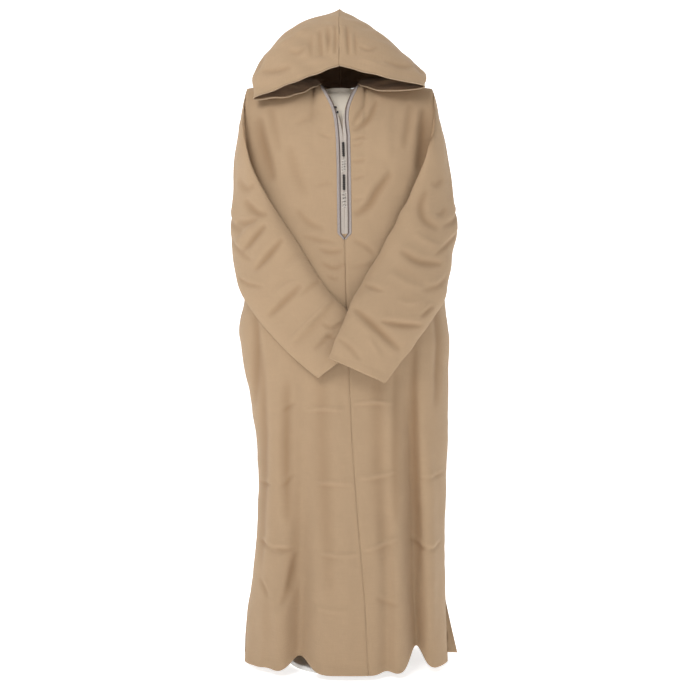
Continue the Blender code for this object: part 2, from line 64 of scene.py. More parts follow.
# (height, x) down each side and down the centre front, then (height, depth) of the front and the back
leftSide = [(0.012, -0.230), (0.10, -0.224), (0.23, -0.206), (0.56, -0.203), (0.65, -0.217), (0.72, -0.231),
            (0.80, -0.240), (0.87, -0.229), (0.97, -0.227), (1.117, -0.231), (1.40, -0.222)]
rightSide = [(0.012, 0.262), (0.10, 0.257), (0.23, 0.253), (0.56, 0.260), (0.70, 0.262), (0.775, 0.264),
             (0.85, 0.255), (0.95, 0.243), (1.117, 0.231), (1.40, 0.222)]
centreSeam = [(0.012, 0.067), (0.18, 0.058), (0.36, 0.043), (0.565, 0.029), (0.68, 0.024), (1.0, 0.013),
              (1.244, 0.0085), (1.40, 0.0)]
frontDepth = [(0.012, 0.165), (0.25, 0.158), (0.60, 0.148), (0.80, 0.142), (0.95, 0.133), (1.117, 0.122),
              (1.25, 0.114), (1.40, 0.100)]
backDepth = [(0.012, 0.165), (0.25, 0.155), (0.60, 0.142), (0.80, 0.132), (0.95, 0.122), (1.117, 0.116),
             (1.25, 0.112), (1.40, 0.100)]

# soft vertical troughs: (x at the hem, x at its top, top height, depth, width, lift of the hem)
frontFolds = [(-0.090, -0.080, 0.76, 0.050, 0.030, 0.030), (0.180, 0.150, 0.84, 0.064, 0.022, 0.048),
              (-0.165, -0.128, 0.60, 0.014, 0.020, 0.004), (0.108, 0.112, 0.62, 0.018, 0.018, 0.004),
              (-0.200, -0.205, 0.92, 0.016, 0.020, 0.0)]
backFolds = [(-0.155, -0.120, 0.80, 0.044, 0.024, 0.006), (-0.050, -0.025, 0.70, 0.034, 0.026, 0.004),
             (0.075, 0.060, 0.76, 0.038, 0.024, 0.006), (0.185, 0.160, 0.82, 0.044, 0.022, 0.006)]


# a smooth curve through (place, value) knots: cubics between neighbours, with slopes taken from the knots
def curveAt(where, knots):
    places = np.array([k[0] for k in knots], float)
    values = np.array([k[1] for k in knots], float)
    slopes = np.gradient(values, places, axis=0)
    where = np.clip(np.asarray(where, float), places[0], places[-1])
    piece = np.clip(np.searchsorted(places, where) - 1, 0, len(places) - 2)
    width = places[piece + 1] - places[piece]
    part = (where - places[piece]) / width
    if values.ndim > 1:
        part, width = part[..., None], width[..., None]
    start = values[piece] * (1 + 2 * part) * (1 - part) ** 2 + slopes[piece] * width * part * (1 - part) ** 2
    end = values[piece + 1] * (3 - 2 * part) * part**2 + slopes[piece + 1] * width * part**2 * (part - 1)
    return start + end


# points at equal steps of the smooth curve through stations, whatever shape each station has
def alongStations(stations, count):
    shape = np.array(stations[0], float).shape
    knots = [(float(i), np.array(s, float).reshape(-1)) for i, s in enumerate(stations)]
    return curveAt(np.linspace(0, len(stations) - 1, count), knots).reshape((count, *shape))


def smoothStep(value, low, high):
    t = np.clip((value - low) / (high - low), 0, 1)
    return t * t * (3 - 2 * t)


def unit(vectors):
    return vectors / np.maximum(np.linalg.norm(vectors, axis=-1, keepdims=True), 1e-12)


# the cross product of a grid's two directions, along its columns and then along its rows
def gridCross(grid, wraps):
    along = np.gradient(grid, axis=0)
    across = np.gradient(grid, axis=1)
    if wraps:
        across = (np.roll(grid, -1, axis=1) - np.roll(grid, 1, axis=1)) / 2
    return np.cross(along, across)


# unit normals of a grid of points, turned to side with outward
def gridNormals(grid, outward, wraps=False):
    normals = unit(gridCross(grid, wraps))
    return normals * np.sign((normals * outward).sum())


# whether the faces of the grid's mesh look the same way as outward, taken over the whole grid
def facesOutward(grid, outward, wraps=False):
    return (gridCross(grid, wraps) * outward).sum() < 0


# each point's distance along its row and its column, in metres: the cloth's own measure
def clothMeasure(grid):
    rowSteps = np.linalg.norm(np.diff(grid, axis=1), axis=2)
    u = np.concatenate([np.zeros((len(grid), 1)), np.cumsum(rowSteps, axis=1)], axis=1)
    columnSteps = np.linalg.norm(np.diff(grid, axis=0), axis=2).mean(axis=1)
    v = np.concatenate([[0.0], np.cumsum(columnSteps)])
    return u, np.repeat(v[:, None], grid.shape[1], axis=1)


# nearest place on a smooth line through points: signed distance from it (left is plus) and share along it
def nearLine(a, b, points, steps=10):
    line = alongStations([np.array(p, float) for p in points], (len(points) - 1) * steps + 1)
    best = np.full(a.shape, 1e9)
    signed = np.zeros(a.shape)
    share = np.zeros(a.shape)
    lengths = np.linalg.norm(np.diff(line, axis=0), axis=1)
    total = lengths.sum()
    run = 0.0
    for start, end, length in zip(line[:-1], line[1:], lengths):
        da, db = (end - start) / max(length, 1e-9)
        pa, pb = a - start[0], b - start[1]
        t = np.clip(pa * da + pb * db, 0, length)
        ra, rb = pa - t * da, pb - t * db
        distance = np.hypot(ra, rb)
        closer = distance < best
        best = np.where(closer, distance, best)
        signed = np.where(closer, distance * np.where(da * rb - db * ra >= 0, 1, -1), signed)
        share = np.where(closer, (run + t) / total, share)
        run += length
    return signed, share


# height that creases add to cloth. A crease is (points, height, width, lean): a rounded ridge where height is
# plus, a trough where it is minus, with a lower one of the other kind beside it, fading out at both ends
def creaseHeight(a, b, creases):
    height = np.zeros(a.shape)
    for points, size, width, lean in creases:
        low = np.min(points, axis=0) - 4 * width
        high = np.max(points, axis=0) + 4 * width
        near = (a > low[0]) & (a < high[0]) & (b > low[1]) & (b < high[1])
        if not near.any():
            continue
        signed, share = nearLine(a[near], b[near], points)
        fade = np.sin(pi * np.clip(share, 0.004, 0.996)) ** 0.55
        grown = width * (0.55 + 0.45 * fade)
        main = np.exp(-((signed / grown) ** 2))
        side = np.exp(-(((signed - lean * 1.9 * grown) / (1.5 * grown)) ** 2))
        ends = smoothStep(share, 0.0, 0.12) * smoothStep(1 - share, 0.0, 0.12)
        height[near] += size * fade * ends * (main - 0.42 * abs(lean) * side)
    return height


# slow uneven waves over cloth: a sum of sines whose directions, lengths and phases come from a fixed seed
def softWaves(a, b, seed, length, size, count=7):
    rng = np.random.default_rng(seed)
    total = np.zeros(a.shape)
    for _ in range(count):
        angle = rng.uniform(0, pi)
        step = 2 * pi / (length * rng.uniform(0.7, 1.5))
        total += np.sin(step * (a * np.cos(angle) + b * np.sin(angle)) + rng.uniform(0, 2 * pi))
    return size * total / np.sqrt(count)


# a mesh from arrays of faces, each array with its own number of corners
def meshObject(name, points, groups):
    sizes = np.concatenate([np.full(len(group), group.shape[1]) for group in groups])
    corners = np.concatenate([group.reshape(-1) for group in groups]).astype(np.int32)
    mesh = bpy.data.meshes.new(name)
    mesh.vertices.add(len(points))
    mesh.vertices.foreach_set("co", np.asarray(points, np.float32).reshape(-1))
    mesh.loops.add(len(corners))
    mesh.loops.foreach_set("vertex_index", corners)
    mesh.polygons.add(len(sizes))
    mesh.polygons.foreach_set("loop_start", (np.cumsum(sizes) - sizes).astype(np.int32))
    mesh.polygons.foreach_set("use_smooth", np.ones(len(sizes), bool))
    mesh.update(calc_edges=True)
    piece = bpy.data.objects.new(name, mesh)
    bpy.context.scene.collection.objects.link(piece)
    return piece


# a mesh from a grid of points; wraps joins the last column to the first. uv is (u, v), in metres of cloth
def gridMesh(name, grid, uv=None, wraps=False, flip=False):
    rows, columns = grid.shape[:2]
    i, j = np.meshgrid(np.arange(rows - 1), np.arange(columns if wraps else columns - 1), indexing="ij")
    right = (j + 1) % columns
    corners = [i * columns + j, i * columns + right, (i + 1) * columns + right, (i + 1) * columns + j]
    faces = np.stack(corners[::-1] if flip else corners, axis=-1).reshape(-1, 4)
    piece = meshObject(name, grid.reshape(-1, 3), [faces])
    if uv is not None:
        layer = piece.data.uv_layers.new(name="cloth")
        u, v = (np.asarray(part).reshape(-1) for part in uv)
        loops = faces.reshape(-1)
        values = np.stack([u[loops], v[loops]], axis=1)
        if wraps:  # the last strip's right side is one turn further on
            turn = np.repeat(uv[0][:, -1] + (uv[0][:, 1] - uv[0][:, 0]), columns)
            last = (loops % columns == 0) & np.repeat((j == columns - 1).reshape(-1), 4)
            values[last, 0] = turn[loops[last]]
        layer.data.foreach_set("uv", values.astype(np.float32).reshape(-1))
    return piece


# gives a sheet its thickness, inwards from the drawn surface
def thicken(piece, thickness=cloth["thickness"]):
    wall = piece.modifiers.new("wall", "SOLIDIFY")
    wall.thickness = thickness
    wall.offset = -1
    wall.use_even_offset = False
    wall.use_quality_normals = True


# closed tubes along many paths at once: paths is (tubes, points, 3), radii the same without the last number
def tubeMeshes(name, paths, radii, sides=8, up=(0.0, 0.35, 0.94)):
    paths = np.asarray(paths, float)
    count, steps = paths.shape[:2]
    radii = np.broadcast_to(np.asarray(radii, float), (count, steps))
    along = unit(np.gradient(paths, axis=1))
    across = unit(np.cross(along, np.array(up)))
    third = np.cross(along, across)
    angles = 2 * pi * np.arange(sides) / sides
    ring = np.cos(angles)[:, None] * across[:, :, None] + np.sin(angles)[:, None] * third[:, :, None]
    body = paths[:, :, None] + ring * radii[:, :, None, None]
    points = np.concatenate([body.reshape(count, -1, 3), paths[:, :1], paths[:, -1:]], axis=1)
    step, side = np.meshgrid(np.arange(steps - 1), np.arange(sides), indexing="ij")
    right = (side + 1) % sides
    quads = np.stack([step * sides + side, (step + 1) * sides + side, (step + 1) * sides + right,
                      step * sides + right], axis=-1).reshape(-1, 4)
    first, last = steps * sides, steps * sides + 1
    s = np.arange(sides)
    startCap = np.stack([np.full(sides, first), s, (s + 1) % sides], axis=1)
    endRing = (steps - 1) * sides
    endCap = np.stack([np.full(sides, last), endRing + (s + 1) % sides, endRing + s], axis=1)
    shift = (np.arange(count) * points.shape[1])[:, None, None]
    quads = (quads[None] + shift).reshape(-1, 4)
    caps = (np.concatenate([startCap, endCap])[None] + shift).reshape(-1, 3)
    return meshObject(name, points.reshape(-1, 3), [quads, caps])


# a new group with the named inputs and outputs: each is (name, kind, value)
def newGroup(name, inputs, outputs):
    group = bpy.data.node_groups.new(name, "ShaderNodeTree")
    kinds = {"value": "NodeSocketFloat", "colour": "NodeSocketColor", "vector": "NodeSocketVector"}
    for title, kind, value in inputs:
        socket = group.interface.new_socket(name=title, in_out="INPUT", socket_type=kinds[kind])
        if value is not None:
            socket.default_value = value
    for title, kind in outputs:
        group.interface.new_socket(name=title, in_out="OUTPUT", socket_type=kinds[kind])
    enter = group.nodes.new("NodeGroupInput")
    leave = group.nodes.new("NodeGroupOutput")
    return group, enter, leave


def link(tree, start, end):
    tree.links.new(start, end)


# puts a number, a colour or another node's output into a socket
def feed(tree, socket, value):
    if hasattr(value, "is_output"):
        link(tree, value, socket)
    else:
        socket.default_value = value


# a Math node; each of a and b is a number or a socket
def maths(tree, kind, a, b=0.0, clamp=False):
    node = tree.nodes.new("ShaderNodeMath")
    node.operation = kind
    node.use_clamp = clamp
    feed(tree, node.inputs[0], a)
    feed(tree, node.inputs[1], b)
    return node.outputs[0]


# a colour made lighter or darker by a varying factor
def shadeColour(tree, colour, factor):
    node = tree.nodes.new("ShaderNodeVectorMath")
    node.operation = "SCALE"
    link(tree, colour, node.inputs[0])
    link(tree, factor, node.inputs["Scale"])
    return node.outputs[0]


def plainColour(tree, colour):
    node = tree.nodes.new("ShaderNodeRGB")
    node.outputs[0].default_value = (*colour, 1)
    return node.outputs[0]


def ownPlace(tree):
    return tree.nodes.new("ShaderNodeTexCoord").outputs["Object"]


# the cloth's own measure, in metres
def clothPlace(tree):
    node = tree.nodes.new("ShaderNodeUVMap")
    node.uv_map = "cloth"
    return node.outputs["UV"]


def splitPlace(tree, place):
    node = tree.nodes.new("ShaderNodeSeparateXYZ")
    link(tree, place, node.inputs[0])
    return node.outputs[0], node.outputs[1]


# how far a value of about a half strays from it, times amount
def stray(tree, value, amount):
    return maths(tree, "MULTIPLY", maths(tree, "SUBTRACT", value, 0.5), amount)


def noise(tree, vector, scale, detail=2.0, roughness=0.5):
    node = tree.nodes.new("ShaderNodeTexNoise")
    node.inputs["Scale"].default_value = scale
    node.inputs["Detail"].default_value = detail
    node.inputs["Roughness"].default_value = roughness
    link(tree, vector, node.inputs["Vector"])
    return node.outputs["Fac"]


# from colour a at share 0 to colour b at share 1; b is three numbers
def mixColours(tree, share, a, b):
    node = tree.nodes.new("ShaderNodeMix")
    node.data_type = "RGBA"
    feed(tree, node.inputs[0], share)
    feed(tree, node.inputs[6], a)
    feed(tree, node.inputs[7], (*b, 1))
    return node.outputs[2]


def spread(tree, value, low, high, newLow, newHigh):
    node = tree.nodes.new("ShaderNodeMapRange")
    link(tree, value, node.inputs[0])
    for socket, number in zip(node.inputs[1:5], (low, high, newLow, newHigh)):
        socket.default_value = number
    return node.outputs[0]


# gabardine: steep twill lines crossed by slightly uneven threads, read from the cloth's own metres. Height is
# 0 to 1; Thread is the threads' uneven shade, about 0.5
def makeTwillGroup():
    inputs = [("Cloth", "vector", None), ("Pitch", "value", 0.0007), ("Slub", "value", 0.35)]
    group, enter, leave = newGroup("gabardineTwill", inputs, [("Height", "value"), ("Thread", "value")])
    u, v = (maths(group, "DIVIDE", part, enter.outputs["Pitch"])
            for part in splitPlace(group, enter.outputs["Cloth"]))
    steep = maths(group, "ADD", u, maths(group, "MULTIPLY", v, 0.52))
    ribs = maths(group, "SINE", maths(group, "MULTIPLY", steep, 2 * pi))
    crossings = maths(group, "SINE", maths(group, "MULTIPLY", maths(group, "SUBTRACT", v, u), 2 * pi))
    ribHeight = maths(group, "MULTIPLY", maths(group, "ADD", ribs, 1.0), 0.36)
    threadHeight = maths(group, "MULTIPLY", maths(group, "ADD", crossings, 1.0), 0.14)
    height = maths(group, "ADD", ribHeight, threadHeight)
    slubs = []
    for scale in ((900, 38, 1), (30, 700, 1)):  # long along the warp, then along the weft
        thread = group.nodes.new("ShaderNodeMapping")
        thread.inputs["Scale"].default_value = scale
        link(group, enter.outputs["Cloth"], thread.inputs["Vector"])
        slubs.append(noise(group, thread.outputs[0], 1.0))
    uneven = stray(group, maths(group, "MULTIPLY", maths(group, "ADD", *slubs), 0.5), enter.outputs["Slub"])
    link(group, maths(group, "ADD", height, uneven), leave.inputs["Height"])
    link(group, maths(group, "ADD", uneven, 0.5), leave.inputs["Thread"])
    return group


# fading and handling marks: broad soft clouds, smaller patches and a fine speckle of fibres
def makeWearGroup():
    inputs = [("Place", "vector", None), ("Colour", "colour", (0.5, 0.4, 0.3, 1)), ("Clouds", "value", 0.10),
              ("Speckle", "value", 0.05)]
    group, enter, leave = newGroup("clothWear", inputs, [("Colour", "colour"), ("Worn", "value")])
    clouds = noise(group, enter.outputs["Place"], 5.0, 3.0, 0.55)
    patches = noise(group, enter.outputs["Place"], 26.0, 3.0, 0.6)
    speckle = noise(group, enter.outputs["Place"], 950.0, 1.0, 0.5)
    broad = stray(group, clouds, enter.outputs["Clouds"])
    middle = stray(group, patches, maths(group, "MULTIPLY", enter.outputs["Clouds"], 0.7))
    fine = stray(group, speckle, enter.outputs["Speckle"])
    total = maths(group, "ADD", 1.0, maths(group, "ADD", broad, maths(group, "ADD", middle, fine)))
    link(group, shadeColour(group, enter.outputs["Colour"], total), leave.inputs["Colour"])
    link(group, clouds, leave.inputs["Worn"])
    return group


twillGroup = makeTwillGroup()
wearGroup = makeWearGroup()


def newMaterial(name):
    material = bpy.data.materials.new(name)
    material.use_nodes = True
    return material, material.node_tree, material.node_tree.nodes["Principled BSDF"]


def groupNode(tree, group, **values):
    node = tree.nodes.new("ShaderNodeGroup")
    node.node_tree = group
    for title, value in values.items():
        feed(tree, node.inputs[title], value)
    return node


def bump(tree, height, strength, distance, normal=None):
    node = tree.nodes.new("ShaderNodeBump")
    node.inputs["Strength"].default_value = strength
    node.inputs["Distance"].default_value = distance
    link(tree, height, node.inputs["Height"])
    if normal is not None:
        link(tree, normal, node.inputs["Normal"])
    return node.outputs["Normal"]


# the robe's cloth, in one tone: twill and slubs along the cloth's own measure, clouds and speckle in space,
# painted crease shade: a darker tone where the attribute "shade" marks a trough
def clothMaterial(name, look):
    material, tree, shader = newMaterial(name)
    place = ownPlace(tree)
    twill = groupNode(tree, twillGroup, Cloth=clothPlace(tree), Pitch=look["pitch"], Slub=look["slub"])
    wear = groupNode(tree, wearGroup, Place=place, Colour=(*look["colour"], 1), Clouds=look["clouds"],
                     Speckle=look["speckle"])
    marks = tree.nodes.new("ShaderNodeAttribute")
    marks.attribute_name = "shade"
    # painted shade: the colour darkens towards the crease shade colour in troughs
    creaseShaded = mixColours(tree, maths(tree, "MULTIPLY", marks.outputs["Fac"], look["creaseShade"], clamp=True),
                         wear.outputs["Colour"], look["creaseShadeColour"])
    threads = spread(tree, twill.outputs["Thread"], 0.35, 0.65, 0.93, 1.07)
    # painted shade in the twill's valleys and painted light on its ribs: the colour follows the twill's
    # height
    twillValleyShade = spread(tree, twill.outputs["Height"], 0.0, 1.0, 0.90, 1.05)
    colour = shadeColour(tree, creaseShaded, maths(tree, "MULTIPLY", threads, twillValleyShade))
    link(tree, colour, shader.inputs["Base Color"])
    rough = look["roughness"]
    worn = spread(tree, wear.outputs["Worn"], 0.3, 0.7, rough - 0.05, rough + 0.04)
    link(tree, worn, shader.inputs["Roughness"])
    fibres = noise(tree, place, 240.0, 3.0, 0.6)
    surface = bump(tree, fibres, 0.12, 0.0006)
    link(tree, bump(tree, twill.outputs["Height"], look["relief"], 0.00022, surface), shader.inputs["Normal"])
    shader.inputs["Sheen Weight"].default_value = look["sheen"]
    shader.inputs["Sheen Roughness"].default_value = 0.45
    shader.inputs["Sheen Tint"].default_value = (1.0, 0.93, 0.82, 1)
    shader.inputs["Specular IOR Level"].default_value = 0.28
    return material


gabardine = {
    "colour": (0.432, 0.299, 0.184),
    # painted shade: a darker brown for the inner face of the hood, which lies in shadow
    "insideShade": (0.220, 0.135, 0.080),
    # the darker tone of painted crease shade
    "creaseShadeColour": (0.300, 0.185, 0.100),
    "creaseShade": 0.8,
    "creaseDepth": 0.006,     # depth of a trough that takes the full painted crease shade
    "pitch": 0.00075,
    "slub": 0.40,
    "clouds": 0.10,
    "speckle": 0.06,
    "roughness": 0.86,
    "relief": 0.35,
    "sheen": 0.10,
}
clothFinish = clothMaterial("gabardine", gabardine)
# the same gabardine in the darker brown of painted shade, for the hood's inner face
hoodInsideShade = clothMaterial("gabardine_inside_shade", {**gabardine, "colour": gabardine["insideShade"]})


# puts a number on each of the mesh's points, under the name that materials read
def pointValues(piece, name, values):
    layer = piece.data.attributes.new(name, "FLOAT", "POINT")
    layer.data.foreach_set("value", np.asarray(values, np.float32).reshape(-1))


# marks a sheet's troughs, where its material paints crease shade, and gives it its wall
def finishCloth(piece, crease, node):
    pointValues(piece, "shade", np.clip(-crease / gabardine["creaseDepth"], 0, 1))
    thicken(piece)
    return finishPiece(piece, clothFinish, "cloth", node)


def finishPiece(piece, material, slot, *replaced):
    piece.data.materials.append(material)
    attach(piece, "root")
    if replaced:
        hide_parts(*replaced)
    return piece


print("djellaba: materials made")


# rows of a body panel: height below the underarm, then the share of the way up to the shoulder
def bodyRows(lower, upper):
    underarm = cloth["underarm"]
    heights = np.concatenate([np.linspace(cloth["hem"], underarm, lower), np.full(upper, underarm)])
    shares = np.concatenate([np.zeros(lower), np.linspace(0, 1, upper + 1)[1:]])
    return heights[:, None], shares[:, None]


def sideShare(x, z):
    left, right = curveAt(z, leftSide), curveAt(z, rightSide)
    return np.clip(np.abs(2 * x - left - right) / (right - left), 0, 1)


# depth of the cloth at (x, z): outline depth times a superellipse across the width, closing at the shoulder,
# joined to the armhole's half ellipse at the sides and to the neck's circle at the top
def bodyDepth(x, z, share, outline):
    out = sideShare(x, z)
    full = curveAt(z, outline) * np.sqrt(1 - out ** cloth["roundness"])
    armhole = cloth["armholeDepth"] * np.sqrt(np.clip(1 - (2 * share - 1) ** 2, 0, 1))
    neck = np.sqrt(np.clip(cloth["neckRadius"] ** 2 - x**2, 0, None))
    return np.hypot(full * np.sqrt(1 - share**3), armhole * out**4) + neck * share**4


def topHeight(x):
    out = np.clip((np.abs(x) - cloth["neckRadius"]) / (cloth["armholeX"] - cloth["neckRadius"]), 0, 1)
    return cloth["shoulderNeck"] + (cloth["armholeTop"] - cloth["shoulderNeck"]) * out**1.5


def frontTopHeight(x):
    reach = cloth["neckRadius"] + cloth["neckDrop"]
    drop = np.clip((reach - np.abs(x)) / (reach - cloth["neckHalf"]), 0, 1)
    return topHeight(x) - (cloth["shoulderNeck"] - cloth["neckFront"]) * drop


# presses vertical troughs into a panel: each a Gaussian across, fading towards its top and the side seams
def addFolds(grid, folds, sign):
    x, z = grid[..., 0].copy(), grid[..., 2].copy()
    for hemX, topX, top, depth, width, lift in folds:
        up = np.clip((z - cloth["hem"]) / (top - cloth["hem"]), 0, 1)
        centre = hemX + (topX - hemX) * up
        strength = np.exp(-(((x - centre) / width) ** 2)) * (1 - up**1.5) * (1 - sideShare(x, z) ** 6)
        grid[..., 1] -= sign * depth * strength
        grid[..., 2] += lift * strength * (1 - up) ** 8
    return grid


def slitGap(z):
    return cloth["seamGap"] + cloth["slitOpening"] * np.clip(1 - z / cloth["slitTop"], 0, 1)


# one front half: x runs from the centre seam out to the side by a sine, y is minus the body's depth
def frontGrid(side, lower, upper, columns):
    height, share = bodyRows(lower, upper)
    centre = height + (cloth["neckFront"] - cloth["underarm"]) * share
    opening = np.clip((centre - cloth["placketTop"]) / (cloth["neckFront"] - cloth["placketTop"]), 0, 1)
    inner = (curveAt(centre, centreSeam) * (1 - opening) + side * cloth["seamGap"]
             + side * cloth["neckHalf"] * opening ** cloth["neckBow"])
    outline = rightSide if side > 0 else leftSide
    slit = np.clip(slitGap(height) - cloth["seamGap"], 0, None)
    outer = curveAt(height, outline) - side * cloth["slitShare"] * slit
    tilt = side * (cloth["armholeX"] + cloth["armholeLean"] * (2 * share - 1))
    outer = np.where(share > 0, tilt, outer)
    x = inner + (outer - inner) * np.sin(np.linspace(0, pi / 2, columns))[None, :]
    z = height + (frontTopHeight(x) - cloth["underarm"]) * share
    depth = bodyDepth(x, np.maximum(height, z), share, frontDepth)
    y = -depth - slitGap(height) * sideShare(x, z) ** 8
    y[:, -1] = -(depth[:, -1] + slitGap(height)[:, 0])
    return addFolds(np.stack([x, y, z], axis=2), frontFolds, -1)


# the back: x runs from the left seam to the right one by a sine, y is the body's depth
def backGrid(lower, upper, columns):
    height, share = bodyRows(lower, upper)
    tilt = cloth["armholeX"] + cloth["armholeLean"] * (2 * share - 1)
    left = np.where(share > 0, -tilt, curveAt(height, leftSide))
    flare = cloth["backFlare"] * np.clip(1 - height / cloth["slitTop"], 0, 1)
    right = np.where(share > 0, tilt, curveAt(height, rightSide) + flare)
    x = (left + right) / 2 + (right - left) / 2 * np.sin(np.linspace(-pi / 2, pi / 2, columns))[None, :]
    z = height + (topHeight(x) - cloth["underarm"]) * share
    depth = bodyDepth(x, np.maximum(height, z), share, backDepth)
    y = depth + slitGap(height) * sideShare(x, z) ** 8
    for column in (0, -1):
        y[:, column] = depth[:, column] + slitGap(height)[:, 0]
    return addFolds(np.stack([x, y, z], axis=2), backFolds, 1)


